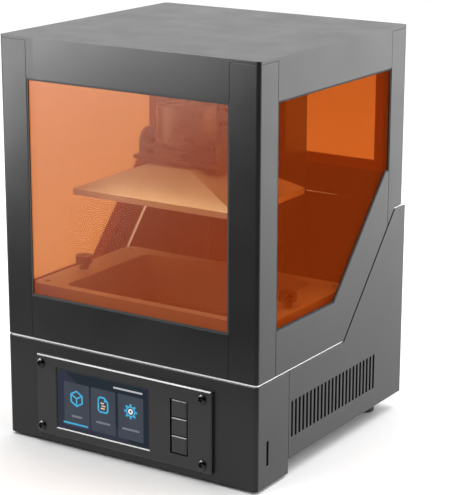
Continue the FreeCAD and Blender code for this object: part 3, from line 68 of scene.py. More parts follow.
class Paint:
    """A material with one Principled shader and a few node helpers."""

    def __init__(self, name, color, roughness, metallic=0.0, specular=0.5):
        self.material = bpy.data.materials.new(name)
        self.material.use_nodes = True
        self.tree = self.material.node_tree
        self.shader = self.tree.nodes["Principled BSDF"]
        self.output = self.tree.nodes["Material Output"]
        self.set("Base Color", (*color, 1.0))
        self.set("Roughness", roughness)
        self.set("Metallic", metallic)
        self.set("Specular IOR Level", specular)
        self.color = color
        self.roughness = roughness
        self.coords = None

    def set(self, socket, value):
        self.shader.inputs[socket].default_value = value

    # Emission on a part that is no lamp, used here only as painted light.
    def painted_glow(self, color, strength):
        self.set("Emission Color", (*color, 1.0))
        self.set("Emission Strength", strength)

    def node(self, kind, **values):
        made = self.tree.nodes.new(kind)
        for name, value in values.items():
            if name in made.inputs.keys():
                made.inputs[name].default_value = value
            else:
                setattr(made, name, value)
        return made

    def link(self, source, target):
        self.tree.links.new(source, target)

    def place(self, stretch=(1, 1, 1)):
        """Object coordinates, stretched along the axes."""
        if self.coords is None:
            self.coords = self.node("ShaderNodeTexCoord")
        if tuple(stretch) == (1, 1, 1):
            return self.coords.outputs["Object"]
        mapping = self.node("ShaderNodeMapping")
        mapping.inputs["Scale"].default_value = stretch
        self.link(self.coords.outputs["Object"], mapping.inputs["Vector"])
        return mapping.outputs["Vector"]

    def noise(self, scale, detail, stretch=(1, 1, 1)):
        """An even noise with this many features to the metre."""
        made = self.node("ShaderNodeTexNoise", Scale=scale, Detail=detail)
        self.link(self.place(stretch), made.inputs["Vector"])
        return made.outputs["Fac"]

    def spread(self, source, low, high, start=0.3, end=0.7):
        """Maps a 0-to-1 signal to a range."""
        made = self.node("ShaderNodeMapRange")
        for socket, value in (("From Min", start), ("From Max", end), ("To Min", low), ("To Max", high)):
            made.inputs[socket].default_value = value
        self.link(source, made.inputs["Value"])
        return made.outputs["Result"]

    def blend_colors(self, source, first, second, target, start=0.3, end=0.7):
        """Drives a colour socket from one colour to another along a signal."""
        ramp = self.node("ShaderNodeValToRGB")
        for element, position, color in zip(ramp.color_ramp.elements, (start, end), (first, second)):
            element.position = position
            element.color = (*color, 1)
        self.link(source, ramp.inputs["Fac"])
        self.link(ramp.outputs["Color"], self.shader.inputs[target])

    def vary_color(self, source, amount):
        """Base colour a little darker and lighter along a signal."""
        dark = [channel * (1 - amount) for channel in self.color]
        light = [min(1.0, channel * (1 + amount)) for channel in self.color]
        self.blend_colors(source, dark, light, "Base Color")

    def vary_roughness(self, source, amount):
        self.link(self.spread(source, self.roughness - amount, self.roughness + amount),
                  self.shader.inputs["Roughness"])

    def bump(self, source, depth, strength=1.0):
        made = self.node("ShaderNodeBump", Strength=strength, Distance=depth)
        self.link(source, made.inputs["Height"])
        self.link(made.outputs["Normal"], self.shader.inputs["Normal"])

    def let_through(self, share, tint):
        """Mixes the finished surface with light that goes straight through."""
        through = self.node("ShaderNodeBsdfTransparent", Color=(*tint, 1))
        mix = self.node("ShaderNodeMixShader", Fac=share)
        self.link(through.outputs["BSDF"], mix.inputs[1])
        self.link(self.shader.outputs["BSDF"], mix.inputs[2])
        self.link(mix.outputs["Shader"], self.output.inputs["Surface"])


ACRYLIC_SHARE = 0.25
ACRYLIC_IOR = 1.05
ACRYLIC_BODY = (0.22, 0.030, 0.002)
# Colour of the acrylic's painted glow.
ACRYLIC_PAINTED_GLOW = (1.0, 0.140, 0.016)
ACRYLIC_TINT = (0.952, 0.680, 0.421)
FRONT_TINT = (0.900, 0.830, 0.690)
ACRYLIC_ROUGHNESS = 0.4
POLISH_ROUGHNESS = 0.27
FILM_SHARE = 0.35
FILM_TINT = (0.9, 0.9, 0.92)
TRIM_COLOR = (0.86, 0.86, 0.87)
# Strength of the painted glow that stands in for the trim's highlight.
TRIM_PAINTED_GLOW = 0.35
BOARD_GREEN = (0.012, 0.075, 0.035)
BOARD_DEEP = (0.010, 0.060, 0.028)
BOARD_TRACK = (0.05, 0.19, 0.09)
BOARD_TRACK_SCALE = 160.0
BOARD_TRACK_WIDTH = 0.03
SCREEN_BODY = (0.004, 0.004, 0.005)
SCREEN_ROUGHNESS = 0.12
SCREEN_NAVY = (0.0100, 0.0180, 0.0270)
# Colour of the painted glare band on the screen's background.
SCREEN_PAINTED_GLARE = (0.0250, 0.0270, 0.0500)
TILE_DARK = (0.0270, 0.0330, 0.0520)
TILE_PALE = (0.0350, 0.0470, 0.0640)
ICON_BLUE = (0.030, 0.330, 0.620)
ICON_CYAN = (0.060, 0.480, 0.720)
PICTURE_WHITE = (0.80, 0.80, 0.80)
PICTURE_GREY = (0.16, 0.17, 0.20)
PICTURE_TITLE = (0.50, 0.50, 0.52)
PICTURE_PEACH = (0.80, 0.42, 0.22)
# Slant, place and softness of the painted glare band across the screen's background.
PAINTED_GLARE_LEAN = 0.75
PAINTED_GLARE_EDGE = 0.0225
PAINTED_GLARE_BLUR = 0.0004


def powder_coat(name, color, roughness, grain=1.0, specular=0.5):
    """Fine powder coat: orange-peel bump, a slight mottle and softly varying gloss."""
    paint = Paint(name, color, roughness, specular=specular)
    paint.vary_color(paint.noise(scale=9, detail=4), amount=0.10)
    paint.vary_roughness(paint.noise(scale=26, detail=3), amount=0.03)
    paint.bump(paint.noise(scale=1500, detail=2), depth=0.00004 * grain)
    return paint.material


def brushed(name, color, roughness, stretch):
    """Metal with fine lines along one axis."""
    paint = Paint(name, color, roughness, metallic=1.0)
    lines = paint.noise(scale=700, detail=2, stretch=stretch)
    paint.vary_color(lines, amount=0.08)
    paint.vary_roughness(lines, amount=0.07)
    paint.bump(lines, depth=0.00003)
    return paint.material


def blasted(name, color, roughness, metallic=1.0):
    """Bead-blasted or anodised aluminium with a fine even grain."""
    paint = Paint(name, color, roughness, metallic)
    paint.vary_color(paint.noise(scale=40, detail=4), amount=0.06)
    paint.vary_roughness(paint.noise(scale=120, detail=3), amount=0.05)
    paint.bump(paint.noise(scale=3500, detail=1), depth=0.00002)
    return paint.material


def moulded(name, color, roughness):
    """Moulded plastic or rubber with a spark-eroded grain."""
    paint = Paint(name, color, roughness)
    paint.vary_color(paint.noise(scale=60, detail=3), amount=0.12)
    paint.vary_roughness(paint.noise(scale=200, detail=2), amount=0.05)
    paint.bump(paint.noise(scale=2600, detail=2), depth=0.00003)
    return paint.material


def glossy_glass(name, color, roughness):
    """Black cover glass with a polished face and the faintest waviness."""
    paint = Paint(name, color, roughness)
    paint.vary_color(paint.noise(scale=30, detail=2), amount=0.15)
    paint.vary_roughness(paint.noise(scale=15, detail=2), amount=0.02)
    paint.bump(paint.noise(scale=8, detail=1), depth=0.0001, strength=0.2)
    return paint.material


def trim_with_painted_glow(name, roughness):
    """Satin strip that lights up along its whole length with a painted glow, a painted highlight on a strip
    that is no lamp.
    """
    paint = Paint(name, TRIM_COLOR, roughness)
    paint.vary_color(paint.noise(scale=90, detail=2, stretch=(1, 1, 8)), amount=0.03)
    paint.vary_roughness(paint.noise(scale=300, detail=2), amount=0.06)
    paint.bump(paint.noise(scale=900, detail=2), depth=0.00002)
    # Painted highlight: this emission stands in for the light the strip would reflect.
    paint.painted_glow(TRIM_COLOR, TRIM_PAINTED_GLOW)
    return paint.material


def tinted_acrylic(name, polish, painted_glow, tint):
    """Clear orange sheet with a painted glow that stands in for the light it scatters. Light passes it twice,
    at the outer and at the inner face.
    """
    paint = Paint(name, ACRYLIC_BODY, ACRYLIC_ROUGHNESS)
    paint.set("IOR", ACRYLIC_IOR)
    paint.set("Coat Weight", polish)
    paint.set("Coat Roughness", POLISH_ROUGHNESS)
    paint.vary_color(paint.noise(scale=14, detail=2), amount=0.04)
    paint.bump(paint.noise(scale=6, detail=1), depth=0.00005, strength=0.1)
    # Painted glow: emission standing in for light scattered in the sheet, which is no lamp.
    paint.painted_glow(ACRYLIC_PAINTED_GLOW, painted_glow)
    paint.let_through(ACRYLIC_SHARE, tint)
    return paint.material


def clear_film(name, color, roughness):
    """Stretched fluoropolymer film: nearly clear, with soft drum-tight ripples."""
    paint = Paint(name, color, roughness)
    paint.vary_color(paint.noise(scale=20, detail=3), amount=0.1)
    paint.bump(paint.noise(scale=18, detail=2, stretch=(1, 4, 1)), depth=0.0004, strength=0.3)
    paint.let_through(FILM_SHARE, FILM_TINT)
    return paint.material


def circuit(name, roughness):
    """Solder mask with tracks and pads."""
    paint = Paint(name, BOARD_GREEN, roughness)
    tracks = paint.node("ShaderNodeTexBrick", Scale=BOARD_TRACK_SCALE)
    paint.link(paint.place(), tracks.inputs["Vector"])
    tracks.inputs["Color1"].default_value = (*BOARD_GREEN, 1)
    tracks.inputs["Color2"].default_value = (*BOARD_DEEP, 1)
    tracks.inputs["Mortar"].default_value = (*BOARD_TRACK, 1)
    tracks.inputs["Mortar Size"].default_value = BOARD_TRACK_WIDTH
    paint.link(tracks.outputs["Color"], paint.shader.inputs["Base Color"])
    paint.bump(tracks.outputs["Fac"], depth=0.0001, strength=0.4)
    return paint.material


def lit_pixels(name, first, second, scale=40):
    """A part of the display's picture: its own light, slightly uneven, behind a smooth face."""
    paint = Paint(name, SCREEN_BODY, SCREEN_ROUGHNESS, specular=0.3)
    paint.set("Emission Strength", 1.0)
    paint.blend_colors(paint.noise(scale, detail=2), first, second, "Emission Color")
    return paint.material


def wallpaper_and_painted_glare(name):
    """Dark blue background with a paler band across it from corner to corner, a painted glare."""
    paint = Paint(name, SCREEN_BODY, SCREEN_ROUGHNESS, specular=0.08)
    paint.set("Emission Strength", 1.0)
    split = paint.node("ShaderNodeSeparateXYZ")
    paint.link(paint.place(), split.inputs["Vector"])
    lean = paint.node("ShaderNodeMath", operation="MULTIPLY_ADD")
    paint.link(split.outputs["X"], lean.inputs[0])
    lean.inputs[1].default_value = PAINTED_GLARE_LEAN
    paint.link(split.outputs["Z"], lean.inputs[2])
    # Painted glare: the paler diagonal band across the dark blue background.
    signal = paint.spread(lean.outputs["Value"], 0.0, 1.0,
                          PAINTED_GLARE_EDGE - PAINTED_GLARE_BLUR, PAINTED_GLARE_EDGE + PAINTED_GLARE_BLUR)
    paint.blend_colors(signal, SCREEN_PAINTED_GLARE, SCREEN_NAVY, "Emission Color", 0.0, 1.0)
    return paint.material


# Maker and settings of every finish. Those of the picture start with screen_, but screen_glass is the
# display's own slot. acrylic_polished is the front window's, and all others are slots of the record.
# Colours are linear red, green and blue.
FINISHES = {
    "sheet_dark": (powder_coat, dict(color=(0.015, 0.015, 0.0155), roughness=0.31, specular=0.35)),
    "trim_bright": (trim_with_painted_glow, dict(roughness=0.3)),
    "rubber_black": (moulded, dict(color=(0.010, 0.010, 0.010), roughness=0.75)),
    "bezel_black": (powder_coat, dict(color=(0.016, 0.016, 0.016), roughness=0.30, grain=0.45)),
    "screw_black": (blasted, dict(color=(0.045, 0.045, 0.047), roughness=0.20)),
    "screen_glass": (glossy_glass, dict(color=(0.006, 0.008, 0.012), roughness=0.06)),
    "circuit_board": (circuit, dict(roughness=0.35)),
    "plastic_black": (moulded, dict(color=(0.020, 0.020, 0.021), roughness=0.42)),
    "lamp_bright": (brushed, dict(color=(0.78, 0.78, 0.8), roughness=0.25, stretch=(1, 1, 12))),
    "steel_bright": (brushed, dict(color=(0.46, 0.46, 0.48), roughness=0.30, stretch=(10, 10, 1))),
    "motor_steel": (brushed, dict(color=(0.05, 0.05, 0.052), roughness=0.5, stretch=(1, 1, 14))),
    "block_black": (blasted, dict(color=(0.03, 0.03, 0.032), roughness=0.36, metallic=0.4)),
    "vat_grey": (blasted, dict(color=(0.50, 0.50, 0.51), roughness=0.34, metallic=0.3)),
    "nut_brass": (brushed, dict(color=(0.75, 0.52, 0.2), roughness=0.28, stretch=(1, 1, 10))),
    "plate_aluminium": (blasted, dict(color=(0.52, 0.52, 0.53), roughness=0.42, metallic=0.7)),
    "knob_dark": (blasted, dict(color=(0.13, 0.13, 0.135), roughness=0.30, metallic=0.8)),
    "film_clear": (clear_film, dict(color=(0.35, 0.35, 0.37), roughness=0.12)),
    # The acrylic's emission is painted glow; the front window's copy has the stronger painted glow and a
    # paler tint.
    "acrylic_orange": (tinted_acrylic, dict(polish=0.0, painted_glow=0.15, tint=ACRYLIC_TINT)),
    "acrylic_polished": (tinted_acrylic, dict(polish=1.0, painted_glow=0.34, tint=FRONT_TINT)),
    # The screen's background carries a painted glare band.
    "screen_wallpaper": (wallpaper_and_painted_glare, {}),
    "screen_tile": (lit_pixels, dict(first=TILE_DARK, second=TILE_PALE)),
    "screen_icon": (lit_pixels, dict(first=ICON_BLUE, second=ICON_CYAN, scale=120)),
    "screen_white": (lit_pixels, dict(first=PICTURE_WHITE, second=PICTURE_WHITE)),
    "screen_peach": (lit_pixels, dict(first=PICTURE_PEACH, second=PICTURE_WHITE, scale=300)),
    "screen_grey": (lit_pixels, dict(first=PICTURE_GREY, second=PICTURE_GREY)),
    "screen_title": (lit_pixels, dict(first=PICTURE_TITLE, second=PICTURE_TITLE)),
}


def make_materials():
    """One finished material for every slot of the record, and those of the picture on the display."""
    return {name: maker(name, **settings) for name, (maker, settings) in FINISHES.items()}


# The widths, in mm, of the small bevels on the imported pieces.
EDGE_WIDTHS = {
    "front_casing": 0.35, "left_side_panel": 0.3, "right_side_panel": 0.3, "rear_panel": 0.3,
    "cover_top_panel": 0.9, "cover_front_posts": 0.35, "cover_rear_posts": 0.35,
    "cover_front_rail": 0.35, "cover_side_rails": 0.35, "cover_rear_rail": 0.35,
    "bezel_plate": 0.3, "button_1": 0.2, "button_2": 0.2, "button_3": 0.2,
    "rubber_feet": 0.8, "vat_frame": 0.6, "vat_rails": 0.5,
    "build_plate": 0.5, "plate_stem": 0.4, "head_block": 0.6, "head_bracket": 0.5, "support_arm": 0.5,
    "carriage_block": 0.5, "top_knob": 0.4, "column_back_plate": 0.3, "column_side_plates": 0.3,
    "rod_blocks": 0.4, "hinge_upper_leaves": 0.3, "hinge_lower_leaves": 0.3, "power_inlet": 0.4,
    "power_rocker": 0.4, "stepper_motor": 0.4, "fan_frame": 0.4, "shaft_coupler": 0.4,
    "deck_plate": 0.3, "limit_sensor": 0.3, "lead_nut": 0.3, "card_socket": 0.3,
}
# The one node that looks different from the rest of its slot: its acrylic has a polished coat, a paler tint
# and a stronger painted glow.
OWN_FINISH = {"front_window": "acrylic_polished"}
WELD_DISTANCE = 0.00001
BEVEL_ANGLE = 40.0


def paint_frame(materials):
    """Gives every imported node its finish, and its edges the small bevel that catches light."""
    for part in frame["record"]["subparts"]:
        name = part["node"]
        node = frame["nodes"][name]
        finish = OWN_FINISH.get(name, part["material_slot"])
        node.data.materials.clear()
        node.data.materials.append(materials[finish])
        if name in EDGE_WIDTHS:
            bevel_edges(node, EDGE_WIDTHS[name])


def bevel_edges(piece, width):
    weld = piece.modifiers.new("weld", "WELD")
    weld.merge_threshold = WELD_DISTANCE
    bevel = piece.modifiers.new("bevel", "BEVEL")
    bevel.width = width * MM
    bevel.segments = 2
    bevel.limit_method = "ANGLE"
    bevel.angle_limit = math.radians(BEVEL_ANGLE)
    bevel.use_clamp_overlap = True
    shade = piece.modifiers.new("shade", "WEIGHTED_NORMAL")
    shade.keep_sharp = False


# ---------------------------------------------------------------- mesh tools

def offset_outline(corners, distance):
    """An anticlockwise outline moved inward; a negative distance moves it outward."""
    points = [Vector(corner) for corner in corners]
    moved = []
    for index, point in enumerate(points):
        before = point - points[index - 1]
        after = points[(index + 1) % len(points)] - point
        first = Vector((-before.y, before.x)).normalized()
        second = Vector((-after.y, after.x)).normalized()
        mitre = (first + second).normalized()
        moved.append(point + mitre * distance / mitre.dot(first))
    return moved


def prism(mesh, corners, low, high, to_point):
    """A solid with this outline between two levels."""
    bottom = [mesh.verts.new(to_point(u, v, low)) for u, v in corners]
    top = [mesh.verts.new(to_point(u, v, high)) for u, v in corners]
    mesh.faces.new(bottom)
    mesh.faces.new(list(reversed(top)))
    for index in range(len(corners)):
        following = (index + 1) % len(corners)
        mesh.faces.new((bottom[index], top[index], top[following], bottom[following]))


def ring(mesh, outer, inner, low, high, to_point):
    """A solid frame between an outer and an inner outline with as many corners."""
    loops = [[mesh.verts.new(to_point(u, v, level)) for u, v in corners]
             for corners, level in ((outer, low), (outer, high), (inner, high), (inner, low))]
    for index in range(len(outer)):
        following = (index + 1) % len(outer)
        for number, loop in enumerate(loops):
            beside = loops[(number + 1) % len(loops)]
            mesh.faces.new((loop[index], beside[index], beside[following], loop[following]))


def circle(centre, radius, count, start=0.0):
    return [(centre[0] + radius * math.cos(start + 2 * math.pi * index / count),
             centre[1] + radius * math.sin(start + 2 * math.pi * index / count)) for index in range(count)]


def rectangle(left, low, right, high):
    return [(left, low), (right, low), (right, high), (left, high)]


def rounded(left, low, right, high, radius, steps=5):
    """Anticlockwise rectangle with round corners."""
    corners = []
    for centre, start in (((right - radius, low + radius), -90), ((right - radius, high - radius), 0),
                          ((left + radius, high - radius), 90), ((left + radius, low + radius), 180)):
        for step in range(steps + 1):
            angle = math.radians(start + 90 * step / steps)
            corners.append((centre[0] + radius * math.cos(angle), centre[1] + radius * math.sin(angle)))
    return corners


def lathe(mesh, profile, count):
    """A solid of revolution about Z, from a profile (radius, height) that starts and ends on the axis."""
    poles = [mesh.verts.new((0, 0, profile[0][1])), mesh.verts.new((0, 0, profile[-1][1]))]
    rings = [[mesh.verts.new((radius * math.cos(2 * math.pi * index / count),
                              radius * math.sin(2 * math.pi * index / count), height))
              for index in range(count)] for radius, height in profile[1:-1]]
    for index in range(count):
        following = (index + 1) % count
        mesh.faces.new((poles[0], rings[0][following], rings[0][index]))
        mesh.faces.new((poles[1], rings[-1][index], rings[-1][following]))
        for low, high in zip(rings, rings[1:]):
            mesh.faces.new((low[index], low[following], high[following], high[index]))


def finish_piece(name, mesh, body, material, smooth_below=None):
    """Turns a built mesh into a piece that rides on a body."""
    bmesh.ops.recalc_face_normals(mesh, faces=mesh.faces)
    data = bpy.data.meshes.new(name)
    mesh.to_mesh(data)
    mesh.free()
    piece = bpy.data.objects.new(name, data)
    bpy.context.scene.collection.objects.link(piece)
    data.materials.append(material)
    if smooth_below is not None:
        data.shade_smooth()
        data.set_sharp_from_angle(angle=math.radians(smooth_below))
    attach(piece, body)
    return piece


# ---------------------------------------------------------------- window beads

BEAD_WIDTH = 1.5
BEAD_OVERLAP = 0.05
BEAD_SUNK = 0.35
BEAD_GAP = 0.02
POST_WIDTH = 27.0
WINDOW_LOW = 129.0
WINDOW_HIGH = 312.8
COVER_DEPTH = depth_of(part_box("cover_rear_posts")[1][1])
SHEET_WALL = 1.5
GLASS_KNEE = 119.0
GLASS_HEEL = 204.8
GLASS_HEEL_HIGH = 223.6


def make_beads(materials):
    """The black rubber strips between the sheet metal and the acrylic, round every opening."""
    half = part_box("cover_front_posts")[1][0] / MM
    reach = half - POST_WIDTH
    back = COVER_DEPTH - POST_WIDTH
    front_opening = rectangle(-reach, WINDOW_LOW, reach, WINDOW_HIGH)
    rear_opening = rectangle(-reach, GLASS_HEEL_HIGH, reach, WINDOW_HIGH)
    side_opening = [(POST_WIDTH, WINDOW_LOW), (GLASS_KNEE, WINDOW_LOW), (GLASS_HEEL, GLASS_HEEL_HIGH),
                    (back, GLASS_HEEL_HIGH), (back, WINDOW_HIGH), (POST_WIDTH, WINDOW_HIGH)]
    openings = {
        "front_window_bead": (front_opening, lambda u, v, w: at(u, w, v)),
        "rear_window_bead": (rear_opening, lambda u, v, w: at(u, COVER_DEPTH - w, v)),
        "left_window_bead": (side_opening, lambda u, v, w: at(w - half, u, v)),
        "right_window_bead": (side_opening, lambda u, v, w: at(half - w, u, v)),
    }
    for name, (outline, to_point) in openings.items():
        mesh = bmesh.new()
        ring(mesh, offset_outline(outline, -BEAD_OVERLAP), offset_outline(outline, BEAD_WIDTH),
             BEAD_SUNK, SHEET_WALL - BEAD_GAP, to_point)
        finish_piece(name, mesh, "cover", materials["rubber_black"])


# ---------------------------------------------------------------- cross-head screws

# Sizes of a screw head of unit radius.
HEAD_HIGH = 0.56
HEAD_RIM = 0.10
HEAD_STEPS = 7
HEAD_FULLNESS = 0.8
HEAD_SIDES = 40
RECESS_LONG = 0.62
RECESS_WIDE = 0.16
RECESS_TAPER = 0.55
RECESS_LOW = 0.18
RECESS_TOP = 0.8


def loose_object(name, mesh):
    """A built mesh as a helper object, to be removed after use."""
    data = bpy.data.meshes.new(name)
    mesh.to_mesh(data)
    mesh.free()
    helper = bpy.data.objects.new(name, data)
    bpy.context.scene.collection.objects.link(helper)
    return helper


def recess_cutter(long, wide):
    """One arm of the cross recess, narrower at its bottom."""
    mesh = bmesh.new()
    foot = rectangle(-long * RECESS_TAPER, -wide * RECESS_TAPER, long * RECESS_TAPER, wide * RECESS_TAPER)
    mouth = rectangle(-long, -wide, long, wide)
    bottom = [mesh.verts.new((u, v, RECESS_LOW)) for u, v in foot]
    top = [mesh.verts.new((u, v, RECESS_TOP)) for u, v in mouth]
    mesh.faces.new(list(reversed(bottom)))
    mesh.faces.new(top)
    for index in range(len(foot)):
        following = (index + 1) % len(foot)
        mesh.faces.new((bottom[index], bottom[following], top[following], top[index]))
    return loose_object("cross_cutter", mesh)


def cross_head_mesh():
    """A domed screw head of unit radius, standing on Z, with a cross recess."""
    profile = [(0.0, 0.0), (1.0, 0.0), (1.0, HEAD_RIM)]
    for step in range(HEAD_STEPS):
        angle = math.pi / 2 * (step + 1) / (HEAD_STEPS + 1)
        height = HEAD_RIM + (HEAD_HIGH - HEAD_RIM) * math.sin(angle)
        profile.append((math.cos(angle) ** HEAD_FULLNESS, height))
    profile.append((0.0, HEAD_HIGH))
    mesh = bmesh.new()
    lathe(mesh, profile, HEAD_SIDES)
    bmesh.ops.recalc_face_normals(mesh, faces=mesh.faces)
    head = loose_object("cross_head", mesh)
    cutters = [recess_cutter(RECESS_LONG, RECESS_WIDE), recess_cutter(RECESS_WIDE, RECESS_LONG)]
    for cutter in cutters:
        recess = head.modifiers.new("recess", "BOOLEAN")
        recess.operation = "DIFFERENCE"
        recess.solver = "EXACT"
        recess.object = cutter
    result = bpy.data.meshes.new_from_object(head.evaluated_get(bpy.context.evaluated_depsgraph_get()))
    for helper in [head] + cutters:
        bpy.data.objects.remove(helper)
    return result


TOWARD = {
    "front": Matrix.Rotation(math.radians(90), 4, "X"),
    "back": Matrix.Rotation(math.radians(-90), 4, "X"),
}
TURN_STEP = 37.0
SCREW_SMOOTH_ANGLE = 35.0


def make_screws(name, head, places, toward, radius, body, material):
    """A group of equal cross-head screws, each left at its own angle."""
    mesh = bmesh.new()
    for index, place in enumerate(places):
        turned = Matrix.Rotation(math.radians(TURN_STEP * index), 4, "Z")
        copy = head.copy()
        copy.transform(Matrix.Translation(place) @ TOWARD[toward] @ turned @ Matrix.Scale(radius * MM, 4))
        mesh.from_mesh(copy)
        bpy.data.meshes.remove(copy)
    return finish_piece(name, mesh, body, material, SCREW_SMOOTH_ANGLE)


BEZEL_SCREW_RADIUS = 4.3
BEZEL_SCREW_SPREAD = 163.0
BEZEL_SCREW_CENTRE = -6.2
BEZEL_SCREW_ROWS = (16.5, 72.3)
PANEL_SCREW_RADIUS = 2.8
PANEL_SCREW_OFFSET = 117.0
PANEL_SCREW_ROWS = (24.0, 98.0, 176.0)
HINGE_SCREW_OFFSET = 10.0
HINGE_WIDTH = 34.0
LEAF_THICK = 1.6
UPPER_SCREW_HIGH = 204.5
LOWER_SCREW_HIGH = 175.0
FAN_SCREW_OFFSET = 25.0
FAN_CENTRE = (-70.0, 50.0)


def make_all_screws(materials):
    head = cross_head_mesh()
    black = materials["screw_black"]
    bezel_depth = depth_of(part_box("bezel_plate")[0][1])
    places = [at(BEZEL_SCREW_CENTRE + side * BEZEL_SCREW_SPREAD / 2, bezel_depth, z)
              for side in (-1, 1) for z in BEZEL_SCREW_ROWS]
    heads = make_screws("bezel_screw_heads", head, places, "front", BEZEL_SCREW_RADIUS, "base", black)
    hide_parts("bezel_screws")

    rear = depth_of(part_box("rear_panel")[1][1])
    places = [at(side * PANEL_SCREW_OFFSET, rear, z) for side in (-1, 1) for z in PANEL_SCREW_ROWS]
    make_screws("rear_panel_screws", head, places, "back", PANEL_SCREW_RADIUS, "base", black)
    places = [at(FAN_CENTRE[0] + u * FAN_SCREW_OFFSET, rear, FAN_CENTRE[1] + v * FAN_SCREW_OFFSET)
              for u in (-1, 1) for v in (-1, 1)]
    make_screws("fan_screws", head, places, "back", PANEL_SCREW_RADIUS, "base", black)

    hinge_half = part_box("hinge_upper_leaves")[1][0] / MM - HINGE_WIDTH / 2
    for name, body, face, z in (("hinge_upper_screws", "cover", COVER_DEPTH, UPPER_SCREW_HIGH),
                                ("hinge_lower_screws", "base", rear, LOWER_SCREW_HIGH)):
        places = [at(side * hinge_half + shift, face + LEAF_THICK, z)
                  for side in (-1, 1) for shift in (-HINGE_SCREW_OFFSET, HINGE_SCREW_OFFSET)]
        make_screws(name, head, places, "back", PANEL_SCREW_RADIUS, body, black)
    bpy.data.meshes.remove(head)


# ---------------------------------------------------------------- lead screw

THREAD_STARTS = 4
THREAD_LEAD = 8.0
THREAD_DEEP = 0.55
THREAD_SIDES = 20
THREAD_STEP = 0.4
THREAD_SMOOTH_ANGLE = 50.0
# Shares of one pitch.
CREST_HALF = 0.15
FLANK_LONG = 0.2


def thread_radius(radius, angle, z):
    """Trapezoidal thread: a flat crest, a flat root and two short flanks in every pitch."""
    phase = (z / THREAD_LEAD - angle / (2 * math.pi)) * THREAD_STARTS % 1.0
    ramp = min(1.0, max(0.0, (abs(phase - 0.5) - CREST_HALF) / FLANK_LONG))
    return radius - THREAD_DEEP * ramp


def make_lead_screw(materials):
    low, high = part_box("lead_screw")
    radius = (high[0] - low[0]) / 2 / MM
    centre = Vector(((low[0] + high[0]) / 2, (low[1] + high[1]) / 2, 0))
    start = low[2] / MM
    long = (high[2] - low[2]) / MM
    rows = int(long / THREAD_STEP)
    mesh = bmesh.new()
    loops = []
    for row in range(rows + 1):
        z = start + long * row / rows
        loop = []
        for index in range(THREAD_SIDES):
            angle = 2 * math.pi * index / THREAD_SIDES
            reach = thread_radius(radius, angle, z) * MM
            place = Vector((reach * math.cos(angle), reach * math.sin(angle), z * MM))
            loop.append(mesh.verts.new(centre + place))
        loops.append(loop)
    for lower, upper in zip(loops, loops[1:]):
        for index in range(THREAD_SIDES):
            following = (index + 1) % THREAD_SIDES
            mesh.faces.new((lower[index], lower[following], upper[following], upper[index]))
    mesh.faces.new(list(reversed(loops[0])))
    mesh.faces.new(loops[-1])
    screw = finish_piece("threaded_screw", mesh, "drive_screw", materials["steel_bright"],
                         THREAD_SMOOTH_ANGLE)
    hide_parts("lead_screw")


# ---------------------------------------------------------------- picture on the display

# Places on the picture are in mm: across from the display's middle, and up from the floor.
PICTURE_THICK = 0.06
PICTURE_MARGIN = 1.0
TILE_LOW = 22.0
TILE_HIGH = 60.5
TILE_EDGES = ((-40.1, -13.9), (-12.1, 13.0), (15.8, 41.3))
TILE_CORNER = 1.0
ICON_HIGH = 47.0
ICON_CENTRES = [((left + right) / 2, ICON_HIGH) for left, right in TILE_EDGES]
STROKE = 1.5
CUBE_RADIUS = 6.6
SPOKE_WIDTH = STROKE * 0.85
PAGE_HALF = 4.8
PAGE_HIGH = 6.4
PAGE_FOLD = 3.6
PAGE_CUT = 1.6
PAGE_LINES = ((-2.4, 0.8), (-1.4, 2.4), (-2.4, 1.8))
PAGE_LINE_TOP = 1.4
PAGE_LINE_STEP = 2.3
PAGE_LINE_WIDTH = 1.1
GEAR_TEETH = 8
GEAR_RADIUS = 4.1
GEAR_RIM = 1.3
GEAR_SIDES = 32
TOOTH_ROOT = 4.4
TOOTH_TIP = 6.5
TOOTH_WIDTH = 1.9
HUB_RADIUS = 1.7
HUB_RIM = 1.4
HUB_SIDES = 24
LABEL_HIGH = 31.0
LABEL_HALF = 0.9
LABEL_CORNER = 0.8
LABEL_WIDTHS = (11.0, 14.5, 17.5)
UNDERLINE = (TILE_EDGES[0][0] - 1.0, 23.4, TILE_EDGES[0][1] - 1.6, 24.9)
TITLE = (11.2, 64.0, 40.7, 65.5)
TITLE_CORNER = 0.7


def fill(mesh, to_point, corners):
    """A flat piece of the picture, one layer thick."""
    prism(mesh, corners, 0, 1, to_point)


def line(mesh, to_point, start, end, width):
    along = (Vector(end) - Vector(start)).normalized()
    side = Vector((-along.y, along.x)) * width / 2
    fill(mesh, to_point, [Vector(start) - side, Vector(end) - side, Vector(end) + side, Vector(start) + side])


def hoop(mesh, to_point, corners, width):
    """A closed line of this width along an outline."""
    ring(mesh, offset_outline(corners, -width / 2), offset_outline(corners, width / 2), 0, 1, to_point)


def draw_background(mesh, to_point):
    low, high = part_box("display_glass")
    reach = (high[0] - low[0]) / 2 / MM - PICTURE_MARGIN
    bottom = low[2] / MM + PICTURE_MARGIN
    top = high[2] / MM - PICTURE_MARGIN
    fill(mesh, to_point, rectangle(-reach, bottom, reach, top))


def draw_tiles(mesh, to_point):
    for left, right in TILE_EDGES:
        fill(mesh, to_point, rounded(left, TILE_LOW, right, TILE_HIGH, TILE_CORNER))


def draw_cube(mesh, to_point):
    """A cube seen along its diagonal: a hexagon with three spokes."""
    centre = ICON_CENTRES[0]
    corners = circle(centre, CUBE_RADIUS, 6, math.pi / 6)
    hoop(mesh, to_point, corners, STROKE)
    for corner in corners[::2]:
        line(mesh, to_point, centre, corner, SPOKE_WIDTH)


